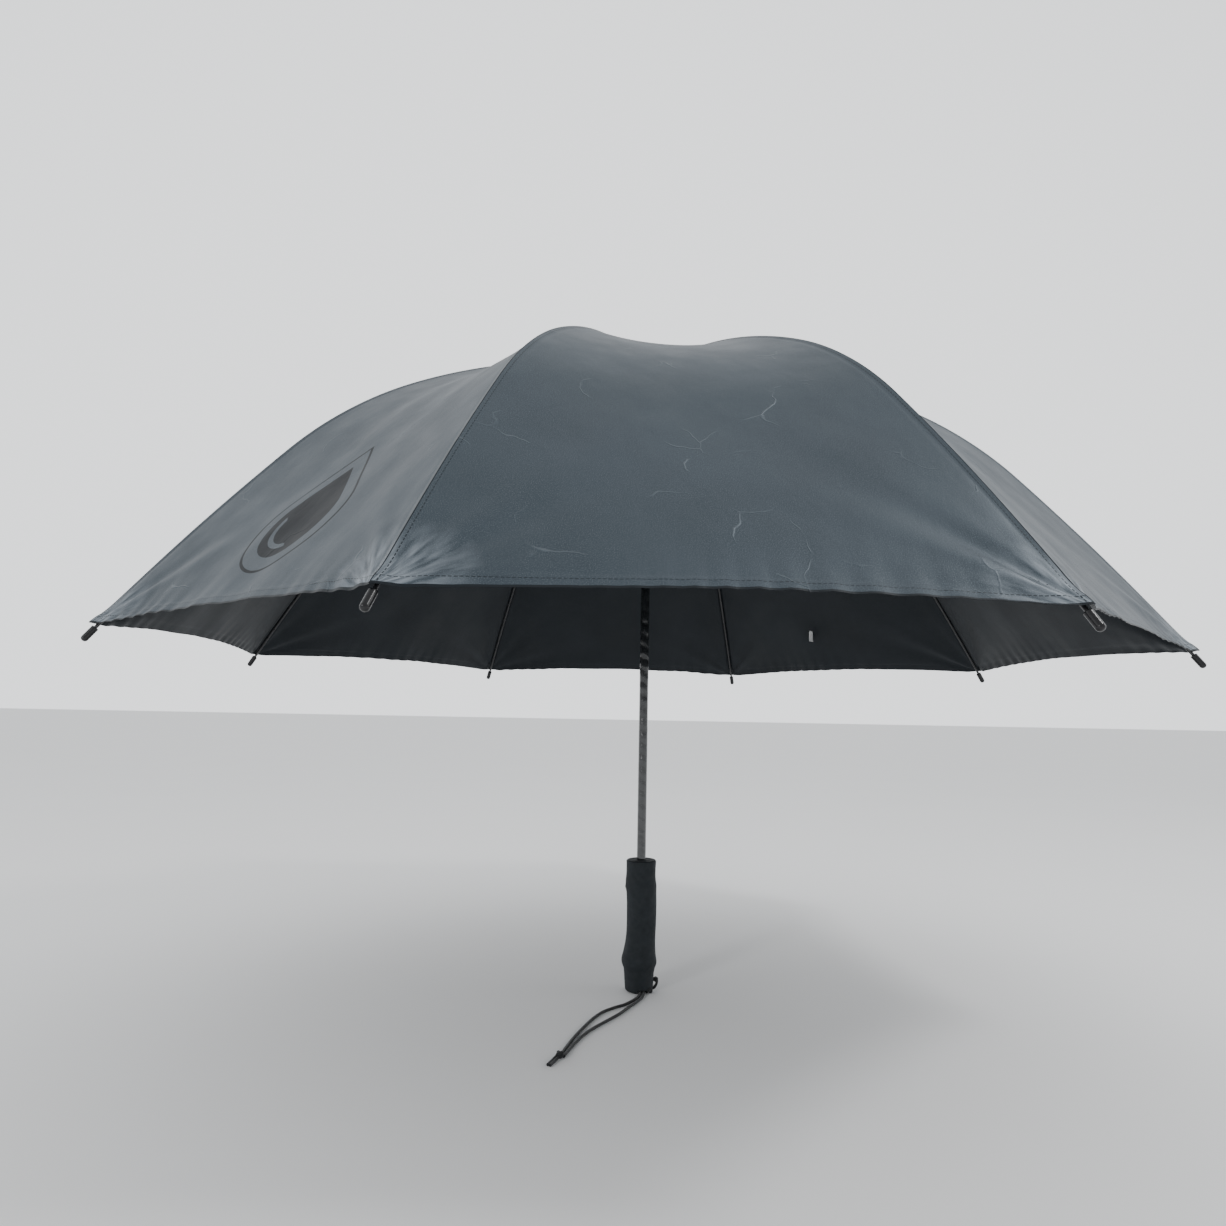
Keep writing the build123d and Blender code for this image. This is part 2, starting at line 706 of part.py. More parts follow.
def cord_tube(points, name):
    """A cord along straight runs joined by tangent arcs."""
    radii = corner_radii(points)
    print(name, "arc radii", [round(r, 1) for r in radii])
    with BuildPart() as tube:
        with BuildLine() as route:
            FilletPolyline(*points, radius=radii)
        first = Vector(points[1]) - Vector(points[0])
        with BuildSketch(Plane(origin=points[0], z_dir=first)):
            Circle(cord_r)
        sweep(path=route.wire())
    length = sum(edge.length for edge in route.edges())
    section = 3.14159265 * cord_r**2
    print(name, "length", round(length, 1), "volume share", round(tube.part.volume / section / length, 4))
    return tube.part


lie = cord_r + surface_gap  # height of the cord's centre where it lies on the surface
left_route = [
    (0.6, -1.4, lie + 0.1),
    (0.2, -11.0, lie + 0.05),
    (-3.2, -22.5, lie),
    (-9.5, -33.0, lie),
    (-17.5, -43.5, lie),
    (-28.0, -51.0, lie),
    (-39.0, -62.0, lie),
    (-48.5, -79.0, lie),
    (-56.0, -97.0, lie),
    (-63.6, -116.0, lie),
    (-70.6, -137.0, lie),
    (-76.6, -157.5, lie),
]
right_route = [
    (3.6, -1.4, lie + 0.1),
    (3.2, -12.0, lie + 0.05),
    (0.2, -24.0, lie),
    (-6.0, -36.0, lie),
    (-14.5, -49.5, lie),
    (-22.0, -63.5, lie),
    (-32.0, -78.0, lie),
    (-43.5, -93.0, lie),
    (-53.0, -107.5, lie),
    (-60.2, -121.0, lie),
    (-67.6, -139.5, lie),
    (-74.0, -158.0, lie),
]
write(cord_tube(left_route, "cord_left"), "cord_left")
write(cord_tube(right_route, "cord_right"), "cord_right")

with BuildPart() as cord_hitch:
    through = Vector(*cord_foot) + Vector(drill.X, drill.Z) * 1.1
    hitch_points = [
        (0.4, 0, cord_foot[1] - 0.1),
        (cord_foot[0], 0, cord_foot[1]),
        (through.X, 0, through.Y),
        (cord_side[0] + 3.4, 0, cord_side[1] - 1.4),
        (cord_side[0] + 1.8, 0, 3.2),
        (cord_side[0] - 3.0, 0, 1.4),
        (7.6, -0.2, 1.4),
    ]
    with BuildLine() as hitch_route:
        FilletPolyline(*hitch_points, radius=[2.4, 1.5, 1.5, 2.4, 2.0])
    with BuildSketch(Plane(origin=hitch_points[0], z_dir=Vector(hitch_points[1]) - Vector(hitch_points[0]))):
        Circle(cord_r)
    sweep(path=hitch_route.wire())
write(cord_hitch.part, "cord_hitch")

# The knot swells and shrinks along its heading: distance from its middle, share of knot_r.
knot_stations = ((-4.6, 0.55), (-1.2, 0.82), (2.0, 0.78), (5.0, 0.5))
knot_fattest = max(share for place, share in knot_stations) * knot_r
knot_at = Vector(-77.2, -159.5, knot_fattest + surface_gap)
knot_heading = Vector(-0.42, -0.91, 0).normalized()
with BuildPart() as cord_knot:
    for place, share in knot_stations:
        with BuildSketch(Plane(origin=knot_at + knot_heading * place, z_dir=knot_heading)):
            Circle(knot_r * share)
    loft()
write(cord_knot.part, "cord_knot")

with BuildPart() as cord_tail:
    tail_start = Vector(knot_at.X, knot_at.Y, tail_height / 2 + surface_gap) + knot_heading * 2.0
    tail_plane = Plane(origin=tail_start, x_dir=knot_heading.cross(Vector(0, 0, 1)), z_dir=knot_heading)
    with BuildSketch(tail_plane):
        SlotOverall(tail_width, tail_height)
    extrude(amount=tail_length)
write(cord_tail.part, "cord_tail")

# ---- numbers that the record needs -----------------------------------------------------------
print("hinge", hinge, "shoulder", shoulder, "knee", knee, "hem", hem, "pivot", pivot)
print("arm", arm, "angle", arm_angle, "fold", fold_turn, "flex", flex_turn, "travel", travel)
print("runner_z", runner_z, "park_z", park_z, "top", ferrule_z + ferrule_height)
print("ferrule wall", ferrule_z + ferrule_flange_t, ferrule_z + ferrule_height - 3.2)
print("catch pivots", catch_pivots, catch_pivot_y)
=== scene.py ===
# %% [markdown]
# # A straight umbrella, dressed around its frame
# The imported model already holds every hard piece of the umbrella: shaft, runner, ribs, stretchers,
# caps and crown. Those stay exactly where they are. This lesson adds what a frame can't hold: the
# sewn canopy, the moulded foam grip, the wrist cord, and the finish of every material.

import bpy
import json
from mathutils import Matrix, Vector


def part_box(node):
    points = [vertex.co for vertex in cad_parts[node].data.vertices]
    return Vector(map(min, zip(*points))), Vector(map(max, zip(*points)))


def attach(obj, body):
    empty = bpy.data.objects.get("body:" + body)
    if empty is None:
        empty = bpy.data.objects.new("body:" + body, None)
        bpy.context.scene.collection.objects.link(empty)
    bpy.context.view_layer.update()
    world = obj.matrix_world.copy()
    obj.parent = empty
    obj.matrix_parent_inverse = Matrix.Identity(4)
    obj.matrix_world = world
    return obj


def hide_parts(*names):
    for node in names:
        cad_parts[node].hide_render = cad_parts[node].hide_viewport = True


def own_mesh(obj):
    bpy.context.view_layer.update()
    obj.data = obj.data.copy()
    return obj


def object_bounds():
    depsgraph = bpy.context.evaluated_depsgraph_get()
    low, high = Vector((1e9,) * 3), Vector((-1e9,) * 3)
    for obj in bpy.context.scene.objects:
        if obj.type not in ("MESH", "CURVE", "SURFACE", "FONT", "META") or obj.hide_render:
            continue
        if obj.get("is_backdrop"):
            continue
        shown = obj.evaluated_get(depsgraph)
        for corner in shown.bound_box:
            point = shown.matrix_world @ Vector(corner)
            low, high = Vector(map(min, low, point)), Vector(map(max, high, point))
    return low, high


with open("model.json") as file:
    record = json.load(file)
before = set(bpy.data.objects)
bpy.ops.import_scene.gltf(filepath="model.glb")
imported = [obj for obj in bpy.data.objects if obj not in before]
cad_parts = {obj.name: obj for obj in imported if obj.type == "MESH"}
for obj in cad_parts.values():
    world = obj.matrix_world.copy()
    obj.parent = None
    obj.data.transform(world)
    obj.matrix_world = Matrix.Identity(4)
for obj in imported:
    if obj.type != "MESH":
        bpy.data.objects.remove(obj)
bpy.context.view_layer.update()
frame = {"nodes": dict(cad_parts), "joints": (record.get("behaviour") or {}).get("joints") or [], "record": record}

# %% [markdown]
# The model is in metres, with the shaft along +Z and the grip's end at zero. Cloth and foam are
# easier to think about in millimetres, so one small factor turns one into the other.

# %% Units and tools
import json
from math import cos, pi, radians, sin

import bpy
import numpy as np
from mathutils import Matrix, Vector

MM = 0.001
scene = bpy.context.scene
joints = {joint["name"]: joint for joint in frame["joints"]}


def show(thing):
    """Puts an object into the scene."""
    scene.collection.objects.link(thing)
    return thing


# %% [markdown]
# ## Camera
# A person looks at this umbrella from a little below its hem, close enough for the near gore to
# loom. A short lens does that. The camera stands left of the shaft, looks slightly to the right
# and up, and leans by one degree, because a hand never holds it quite level.

# %% Camera
camera_place = Vector((-0.0937, -0.8463, 0.259))
heading, tilt, lean = radians(4.2), radians(6.5), radians(1.1)

forward = Vector((sin(heading) * cos(tilt), cos(heading) * cos(tilt), sin(tilt)))
level_right = Vector((cos(heading), -sin(heading), 0))
level_up = level_right.cross(forward)
right = level_right * cos(lean) + level_up * sin(lean)
up = level_up * cos(lean) - level_right * sin(lean)

camera = show(bpy.data.objects.new("camera", bpy.data.cameras.new("camera")))
camera.data.lens = 25.55
camera.matrix_world = Matrix.Translation(camera_place) @ Matrix((right, up, -forward)).transposed().to_4x4()
scene.camera = camera
print("camera", [round(value, 3) for value in camera.location])

# %% [markdown]
# ## Wrist cord
# The cord is one limp loop. Both of its strands leave the foot of the grip together, part into a
# long eye on the table, and meet again in an overhand knot with a short tail. A NURBS spline is
# the right line for it, because it bends everywhere a little and nowhere sharply. Its control
# points repeat the route of the solid model, in millimetres.

# %% Routes of the two strands
cord_r = 1.3
lie = cord_r + 0.05
left_route = [
    (0.6, -1.4, lie + 0.1),
    (0.2, -11.0, lie + 0.05),
    (-3.2, -22.5, lie),
    (-9.5, -33.0, lie),
    (-17.5, -43.5, lie),
    (-28.0, -51.0, lie),
    (-39.0, -62.0, lie),
    (-48.5, -79.0, lie),
    (-56.0, -97.0, lie),
    (-63.6, -116.0, lie),
    (-70.6, -137.0, lie),
    (-76.6, -157.5, lie),
]
right_route = [
    (3.6, -1.4, lie + 0.1),
    (3.2, -12.0, lie + 0.05),
    (0.2, -24.0, lie),
    (-6.0, -36.0, lie),
    (-14.5, -49.5, lie),
    (-22.0, -63.5, lie),
    (-32.0, -78.0, lie),
    (-43.5, -93.0, lie),
    (-53.0, -107.5, lie),
    (-60.2, -121.0, lie),
    (-67.6, -139.5, lie),
    (-74.0, -158.0, lie),
]


def round_line(name, routes, radius, closed=False):
    """A tube of that radius along one or more smooth lines, given in millimetres, and its line."""
    data = bpy.data.curves.new(name, "CURVE")
    data.dimensions = "3D"
    for route in routes:
        spline = data.splines.new("NURBS")
        spline.points.add(len(route) - 1)
        for point, place in zip(spline.points, route):
            point.co = (*(value * MM for value in place), 1)
        spline.order_u = 3
        spline.use_cyclic_u = closed
        spline.use_endpoint_u = not closed
        spline.resolution_u = 10
    curve = show(bpy.data.objects.new(name + "_line", data))
    line = [tuple(vertex.co) for vertex in bpy.data.meshes.new_from_object(curve).vertices]
    data.bevel_depth = radius * MM
    data.bevel_resolution = 5
    data.use_fill_caps = True
    tube = bpy.data.meshes.new_from_object(curve)
    tube.polygons.foreach_set("use_smooth", np.ones(len(tube.polygons), bool))
    bpy.data.objects.remove(curve)
    return show(bpy.data.objects.new(name, tube)), line


left_strand, left_line = round_line("wrist_cord_left", [left_route], cord_r)
right_strand, right_line = round_line("wrist_cord_right", [right_route], cord_r)
print("points along the strands", len(left_line), len(right_line))

# %% [markdown]
# An overhand knot is a trefoil: a line that winds three times through its own middle. Drawn with
# the cord's own radius, it has the lumps and the dark hollows of the real knot. The same form,
# smaller, makes the two stopper knots at the foot of the grip, where the loop is held.

# %% Knots, tail and the loop through the grip
knot_points = 36


def trefoil(centre, size, squeeze, turn):
    """Points of an overhand knot about a centre, flattened by squeeze and turned about Z."""
    points = []
    for step in range(knot_points):
        t = 2 * pi * step / knot_points
        x = (sin(t) + 2 * sin(2 * t)) / 3 * size
        y = (cos(t) - 2 * cos(2 * t)) / 3 * size * squeeze
        z = -sin(3 * t) / 3 * size * 1.4
        points.append(
            (
                centre[0] + x * cos(turn) - y * sin(turn),
                centre[1] + x * sin(turn) + y * cos(turn),
                centre[2] + z,
            )
        )
    return points


knot_place = (-77.2, -159.8, 3.15)
knot_turn = radians(65)
knot, _ = round_line("wrist_knot", [trefoil(knot_place, 2.7, 0.8, knot_turn)], 1.25, closed=True)

tail_left = [(-76.8, -158.6, 2.2), (-79.3, -164.0, 1.5), (-81.8, -169.5, 1.35), (-84.2, -174.6, 1.3)]
tail_right = [(-78.6, -158.2, 2.2), (-81.4, -163.2, 1.5), (-83.9, -168.7, 1.3), (-86.0, -173.4, 1.25)]
tail, _ = round_line("wrist_cord_tail", [tail_left, tail_right], 1.15)

hold_route = [
    (1.2, 0, 1.7),
    (5.2, 0, 2.4),
    (11.0, 0, 9.5),
    (16.4, -0.4, 12.0),
    (16.2, -0.8, 6.0),
    (12.6, -0.6, 1.6),
    (7.4, -0.4, 1.6),
]
hold, _ = round_line("grip_cord", [hold_route], cord_r)
side_knot, _ = round_line("grip_side_knot", [trefoil((15.0, -0.6, 10.6), 1.9, 1.0, 0.4)], 1.2, closed=True)
foot_bead, _ = round_line("grip_foot_knot", [trefoil((8.2, -9.8, 2.9), 2.0, 1.0, 1.2)], 1.2, closed=True)
print("knots at", knot_place, "and at the grip's foot")

# %% [markdown]
# ## The line of the ribs
# Every rib has the same side view: a flat crown, a round shoulder at the joint, a bent knee and a
# nearly straight run to the hem. Three tangent arcs say all of it. The joint positions come from
# the frame; the four slopes are the umbrella's own, measured below the horizontal.

# %% Rib line


def radius_and_height(joint_name):
    x, y, z = joints[joint_name]["pos_m"]
    return float(np.hypot(x, y)), z


hinge_r, hinge_z = radius_and_height("rib_1_fold")
shoulder_r, shoulder_z = radius_and_height("rib_1_flex")
knee_r, hem_r = 0.335, 0.464
slopes = np.radians([1.5, 27.0, 47.5, 52.8])
stations = [hinge_r, shoulder_r, knee_r, hem_r]

arcs = []
start_z = hinge_z
for first in range(3):
    radius = (stations[first + 1] - stations[first]) / (sin(slopes[first + 1]) - sin(slopes[first]))
    centre_r = stations[first] - radius * sin(slopes[first])
    centre_z = start_z - radius * cos(slopes[first])
    arcs.append((radius, centre_r, centre_z))
    start_z = centre_z + radius * cos(slopes[first + 1])


def rib_line(r):
    """Height and slope of the rib line at radius r, for a whole array of radii."""
    which = np.searchsorted(stations[1:3], r)
    radius, centre_r, centre_z = (np.array(column)[which] for column in zip(*arcs))
    slope = np.arcsin((r - centre_r) / radius)
    return centre_z + radius * np.cos(slope), slope


print("shoulder", round(shoulder_z, 4), "hem", round(start_z, 4))

# %% [markdown]
# ## The cut of a gore
# A gore is the cloth between two ribs. Sewn flat between them, it would be a plain facet, so its
# place is given by two numbers: the distance down the facet from the crown, and the share of the
# way from its left rib (-1) through its middle (0) to its right rib (+1). The hem is cut with a
# shallow hollow, so that it stays tight between the tips.

# %% Cut of a gore
half_angle = pi / 8
first_rib_turn, gore_turn = -112.5, 45
hole_r = 0.0056
hem_hollow = 11 * MM
cloth_top, cloth_bottom = 2.62 * MM, 2.34 * MM

table_r = np.linspace(0.0, hem_r + 0.004, 900)
table_z, _ = rib_line(np.maximum(table_r, hinge_r))
step_down = np.hypot(np.diff(table_r) * cos(half_angle), np.diff(table_z))
table_down = np.concatenate([[0.0], np.cumsum(step_down)])


def down_of(r):
    return np.interp(r, table_r, table_down)


def radius_of(down):
    return np.interp(down, table_down, table_r)


def hem_down(share):
    """How far down the facet the hem is, across the gore."""
    return down_of(hem_r) - hem_hollow * (1 - 0.99 * share**2)


print("gore length", round(float(hem_down(0.0)), 4))
print("half width at the hem", round(hem_r * sin(half_angle), 4))

# %% [markdown]
# ## What tension does to the cloth
# A stretched gore isn't flat. It sags inward between its ribs, creases fan out from each tip where
# the thread pulls, and the hem puckers along its stitching. Each of these is a small height above
# the facet, and their sum is the relief of the cloth. One seeded generator draws all the random
# numbers, so that the umbrella is the same every time.

# %% Relief of the cloth
draw = np.random.default_rng(8)
fan_strength = draw.uniform(0.7, 1.25, (8, 2))
fan_phase = draw.uniform(0, 2 * pi, (8, 2))
pucker_phase = draw.uniform(0, 2 * pi, (8, 3))
soft_waves = draw.uniform(-1, 1, (8, 5, 4))

fan_height, fan_reach, fan_fade, fine_reach = 2.3 * MM, 38e-3, 0.17, 45e-3
wide_creases, fine_creases, rib_clear = 9.5, 17, 7e-3
sag_depth, sag_end = 11.5 * MM, 0.54
ridge_height, ridge_width = 0.4 * MM, 1.7e-3
groove_depth, groove_place, groove_width = 0.25 * MM, 4.6e-3, 1.8e-3
tip_height, tip_beside, tip_above = 2.3 * MM, 8e-3, 11e-3
pucker_height, pucker_fade, pucker_length = 0.75 * MM, 13e-3, 2.9e-3
hem_step, hem_fold, hem_blend = 0.3 * MM, 8.5e-3, 0.5e-3
wave_height, wave_length = 0.55 * MM, 16e-3


def fan(beside, above, strength, phase):
    """Creases that spread from a tip, by the distances beside the rib and above the tip."""
    reach = np.hypot(beside, above)
    turn = np.arctan2(beside, np.maximum(above, 1e-6))
    swell = reach / fan_reach / (1 + (reach / fan_reach) ** 2) * np.exp(-reach / fan_fade)
    fine = reach / (reach + fine_reach)
    folds = np.cos(wide_creases * turn + phase) + 0.6 * fine * np.cos(fine_creases * turn - 2.1 * phase)
    return fan_height * strength * swell * folds * (1 - np.exp(-beside / rib_clear))


def relief(gore, r, share):
    """Height of the cloth above its facet."""
    half_width = r * sin(half_angle)
    across, down = share * half_width, down_of(r)
    above = down_of(hem_r) - down
    from_hem = np.maximum(hem_down(share) - down, 0)
    height = -sag_depth * np.sin(pi * r / sag_end) * (1 - share**2)
    off_crown = np.minimum(1, r / 0.05)
    for side, sign in enumerate((1, -1)):
        beside = half_width * (1 + sign * share)
        height += fan(beside, above, fan_strength[gore, side], fan_phase[gore, side])
        height += ridge_height * np.exp(-((beside / ridge_width) ** 2)) * off_crown
        height -= groove_depth * np.exp(-(((beside - groove_place) / groove_width) ** 2)) * off_crown
        height += tip_height * np.exp(-((beside / tip_beside) ** 2) - (above / tip_above) ** 2)
    phase = pucker_phase[gore]
    gather = np.sin(across / pucker_length + 2.2 * np.sin(across / 31e-3 + phase[0]) + phase[1])
    uneven = 0.55 + 0.45 * np.sin(across / 47e-3 + phase[2])
    height += pucker_height * np.exp(-from_hem / pucker_fade) * gather * uneven
    height += hem_step / (1 + np.exp((from_hem - hem_fold) / hem_blend))
    window = (1 - share**2) * np.minimum(1, r / 0.1)
    for lean_across, lean_down, shift, size in soft_waves[gore]:
        along = across * (0.6 + lean_across) + down * lean_down * 0.45
        height += wave_height * window * np.sin(along / wave_length + 3 * shift) * (0.6 + 0.4 * size)
    return height


shoulder_relief = float(relief(0, np.array(shoulder_r), np.array(0.0)))
print("relief at a shoulder, mid gore, mm", round(shoulder_relief / MM, 2))

# %% [markdown]
# ## From the cut to a place in space
# The facet gives the place, the relief moves it along the cloth's normal, and near a rib that
# normal turns into the rib's own, so that the two gores of a seam meet in the same points.

# %% Place of a point of cloth


def cloth_point(gore, r, share, out):
    """Where a point of a gore is. out is the height above the rib line. Gore 0 follows rib 1."""
    z, slope = rib_line(np.maximum(r, hinge_r))
    seat_r, seat_z = r + out * np.sin(slope), z + out * np.cos(slope)
    near = np.exp(-((r * sin(half_angle) * (1 - np.abs(share)) / 5e-3) ** 2))
    lift = relief(gore, r, share)
    normal_out = np.sin(slope) * (near * cos(half_angle) + (1 - near) / cos(half_angle))
    normal_side = np.sin(slope) * near * np.sign(share) * sin(half_angle)
    normal_up = np.cos(slope)
    long = np.sqrt(normal_out**2 + normal_side**2 + normal_up**2)
    outward = seat_r * cos(half_angle) + lift * normal_out / long
    sideways = share * seat_r * sin(half_angle) + lift * normal_side / long
    middle = radians(first_rib_turn + gore_turn * gore + gore_turn / 2)
    x = outward * cos(middle) - sideways * sin(middle)
    y = outward * sin(middle) + sideways * cos(middle)
    return np.stack([x, y, seat_z + lift * normal_up / long], axis=-1)


def cloth_normal(gore, down, share, out):
    """Normal of the cloth, from its neighbours on the same gore."""
    small = 0.4 * MM
    side_step = small / np.maximum(radius_of(down) * sin(half_angle), 2 * MM)
    left, right_share = np.maximum(share - side_step, -1), np.minimum(share + side_step, 1)
    sideways = cloth_point(gore, radius_of(down), right_share, out) - cloth_point(
        gore, radius_of(down), left, out
    )
    downward = cloth_point(gore, radius_of(down + small), share, out) - cloth_point(
        gore, radius_of(down - small), share, out
    )
    normal = np.cross(downward, sideways)
    return normal / np.linalg.norm(normal, axis=-1, keepdims=True)


print("crown edge", np.round(cloth_point(0, np.array(hole_r), np.array(0.0), cloth_top), 4))

# %% [markdown]
# ## Why each gore is cut into four pieces
# When the runner comes down, the ribs swing in and the cloth between them has to go somewhere. A
# cloth piece follows one body. So every rib carries the half gore on each of its sides, in two
# pieces: one on the inner rib and one beyond the shoulder, where the outer rib turns. The middle of
# a gore is where two ribs' pieces meet, edge on edge, with the same normals, so that the open
# canopy reads as one sheet.

# %% Grid of a cloth piece
columns = 44
crowding = 1.4


def skin_faces(shape):
    """Faces over a grid of points, and the strip around its rim that joins it to a second skin."""
    index = np.arange(shape[0] * shape[1]).reshape(shape)
    quads = np.stack([index[:-1, :-1], index[1:, :-1], index[1:, 1:], index[:-1, 1:]], -1).reshape(-1, 4)
    rim = np.concatenate([index[0, :-1], index[:-1, -1], index[-1, :0:-1], index[:0:-1, 0]])
    ahead = np.roll(rim, -1)
    return quads, np.stack([rim, ahead, ahead + index.size, rim + index.size], -1)


def closed_mesh(name, skins, quads, edge):
    """A smooth mesh of two skins with the same faces, closed around its edge."""
    faces = np.concatenate([quads, quads[:, ::-1] + skins[0][..., 0].size, edge])
    points = np.concatenate([skin.reshape(-1, 3) for skin in skins])
    mesh = bpy.data.meshes.new(name)
    mesh.from_pydata(points.tolist(), [], faces.tolist())
    mesh.polygons.foreach_set("use_smooth", np.ones(len(faces), bool))
    return mesh


def cloth_mesh(name, gore, side, rows, first, last, tuck=0.0):
    """A thin closed sheet on one half of a gore. side is -1 for its left rib and 1 for its right.

    first and last give the rows' ends from the share. tuck is a hidden strip past the last row."""
    away = np.linspace(0, 1, columns + 1) ** crowding
    share = side * (1 - away)
    way = 1 - (1 - np.linspace(0, 1, rows + 1)[:, None]) ** crowding
    down = first(share) + (last(share) - first(share)) * way
    lower = np.zeros_like(down)
    if tuck:
        under = last(share) + np.array([0.6 * MM, tuck / 2, tuck])[:, None]
        down = np.vstack([down, under])
        lower = np.vstack([lower, np.full_like(under, 0.36 * MM)])
    share = np.broadcast_to(share, down.shape)
    r = radius_of(down)
    skins = [cloth_point(gore, r, share, level - lower) for level in (cloth_top, cloth_bottom)]
    normal = cloth_normal(gore, down, share, cloth_top)
    quads, edge = skin_faces(down.shape)
    if side > 0:
        quads, edge = quads[:, ::-1], edge[:, ::-1]
    mesh = closed_mesh(name, skins, quads, edge)
    inside = np.zeros(len(mesh.polygons), np.int32)
    inside[len(quads) : 2 * len(quads)] = 1
    mesh.polygons.foreach_set("material_index", inside)
    flat = {
        "across": share * r * sin(half_angle),
        "down": down,
        "from_rib": r * sin(half_angle) * (1 - np.abs(share)),
        "from_hem": hem_down(share) - down,
    }
    for attribute, values in flat.items():
        layer = mesh.attributes.new(attribute, "FLOAT", "POINT")
        layer.data.foreach_set("value", np.tile(values.ravel(), 2).astype(np.float32))
    both = np.concatenate([normal.reshape(-1, 3), -normal.reshape(-1, 3)])
    mesh.normals_split_custom_set_from_vertices(both.tolist())
    mesh.update()
    return show(bpy.data.objects.new(name, mesh))


print("columns across half a gore", columns)

# %% [markdown]
# ## A mesh of its own for each piece
# A half gore runs from its rib along the chord to the next rib, and the cloth sags along that
# chord. The rib slopes more beyond the shoulder. Each piece is given a copy of its own mesh here;
# it is not flattened onto its rib.


def fold_away(piece):
    """Gives a piece a copy of its own mesh and returns it. It doesn't flatten the piece."""
    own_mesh(piece)
    return piece


# %% [markdown]
# ## Sewing the canopy
# Thirty-two pieces, four on each rib, are cut from the same functions. The flat area of the inner
# and the outer half gore is worked out and printed.

# %% Canopy pieces
inner_rows, outer_rows = 34, 72
flap = 15 * MM
canopy = []


def seam_line(share):
    """Where the inner and outer pieces meet: across the gore, in line with the shoulder's axis."""
    return down_of(shoulder_r / (1 - (1 - np.abs(share)) * sin(half_angle) ** 2))


def crown_line(share):
    return down_of(np.full_like(share, hole_r))


def flat_area(gore_first, gore_last):
    """Area of half a gore between two lines, by strips."""
    share = np.linspace(0, 1, 60)
    lows, highs = gore_first(share), gore_last(share)
    downs = np.linspace(lows, highs, 200)
    widths = radius_of(downs) * sin(half_angle)
    return float(np.mean(np.mean(widths, axis=0) * (highs - lows)))


inner_area = flat_area(crown_line, seam_line)
outer_area = flat_area(seam_line, hem_down)

for rib in range(1, 9):
    halves = ((rib - 1, -1, "left", 1), ((rib - 2) % 8, 1, "right", -1))
    for gore, side, word, turn in halves:
        name = f"canopy_{rib}_inner_{word}"
        inner = cloth_mesh(name, gore, side, inner_rows, crown_line, seam_line, flap)
        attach(inner, f"rib_{rib}")
        fold_away(inner)
        name = f"canopy_{rib}_outer_{word}"
        outer = cloth_mesh(name, gore, side, outer_rows, seam_line, hem_down)
        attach(outer, f"tip_{rib}")
        fold_away(outer)
        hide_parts(f"canopy_{rib}")
        for piece in (inner, outer):
            canopy.append((piece, gore))
print("canopy pieces", len(canopy), "areas", round(inner_area, 4), round(outer_area, 4))

# %% [markdown]
# ## Strap and label
# A strap sewn over one rib ties the folded canopy, and a small white label hangs inside a gore.
# The strap is a doubled tape that follows the cloth under it. The label is a folded piece of
# tape, a little curled, as a label is after some use.

# %% Tie strap


def ribbon(name, rows_of_points, thickness):
    """A thin closed band through rows of points, thickened along its own normals."""
    grid = np.array(rows_of_points)
    down = np.gradient(grid, axis=0)
    across = np.gradient(grid, axis=1)
    normal = np.cross(down, across)
    normal /= np.linalg.norm(normal, axis=-1, keepdims=True)
    skins = [grid + normal * thickness / 2, grid - normal * thickness / 2]
    mesh = closed_mesh(name, skins, *skin_faces(grid.shape[:2]))
    mesh.update()
    return show(bpy.data.objects.new(name, mesh))


strap_rib, strap_width = 6, 14 * MM
strap_low, strap_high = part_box("tie_strap")
strap_rows = []
for down in np.linspace(down_of(0.346), down_of(0.416), 36):
    r = radius_of(down)
    row = []
    for q in np.linspace(-strap_width / 2, strap_width / 2, 15):
        gore, side = (strap_rib - 1, -1) if q > 0 else (strap_rib - 2, 1)
        share = side * (1 - abs(q) / (r * sin(half_angle)))
        flutter = 0.5 * MM * sin(float(down) * 70) ** 2
        row.append(cloth_point(gore, np.array(r), np.array(share), cloth_top + 0.75 * MM + flutter))
    strap_rows.append(row)
strap = ribbon("tie_strap_cloth", strap_rows, 0.9 * MM)
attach(strap, f"tip_{strap_rib}")
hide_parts("tie_strap")
print("strap between", [round(value, 3) for value in strap_low], [round(value, 3) for value in strap_high])

# %% Label
label_low, label_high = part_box("care_label")
label_rib = 5
near_axis = Vector((label_low.x, label_low.y, 0))
far_axis = Vector((label_high.x, label_high.y, 0))
label_rows = []
for level in np.linspace(0, 1, 14):
    row = []
    for width in np.linspace(0, 1, 10):
        place = near_axis.lerp(far_axis, width)
        sideways = Vector((-place.y, place.x, 0)).normalized()
        curl = 1.6 * MM * sin(level * 2.4) * (0.4 + 0.6 * width)
        height = label_high.z + 1.5 * MM - level * (label_high.z - label_low.z)
        row.append(place + sideways * curl + Vector((0, 0, height)))
    label_rows.append(row)
label = ribbon("care_label_tape", label_rows, 0.3 * MM)
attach(label, f"tip_{label_rib}")
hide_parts("care_label")
fold_away(label)
print("label", [round(value, 3) for value in label_low])

# %% [markdown]
# ## Foam grip
# The grip is moulded foam in the form of a length of bamboo: a fat knuckle low down, a small one
# near the top, a slight bend between them, and skin that is never quite round. Rings of points,
# each with its own centre and radius, are simpler for such a form than any modifier. A slot in
# its end, cut with a boolean, lets the cord out.

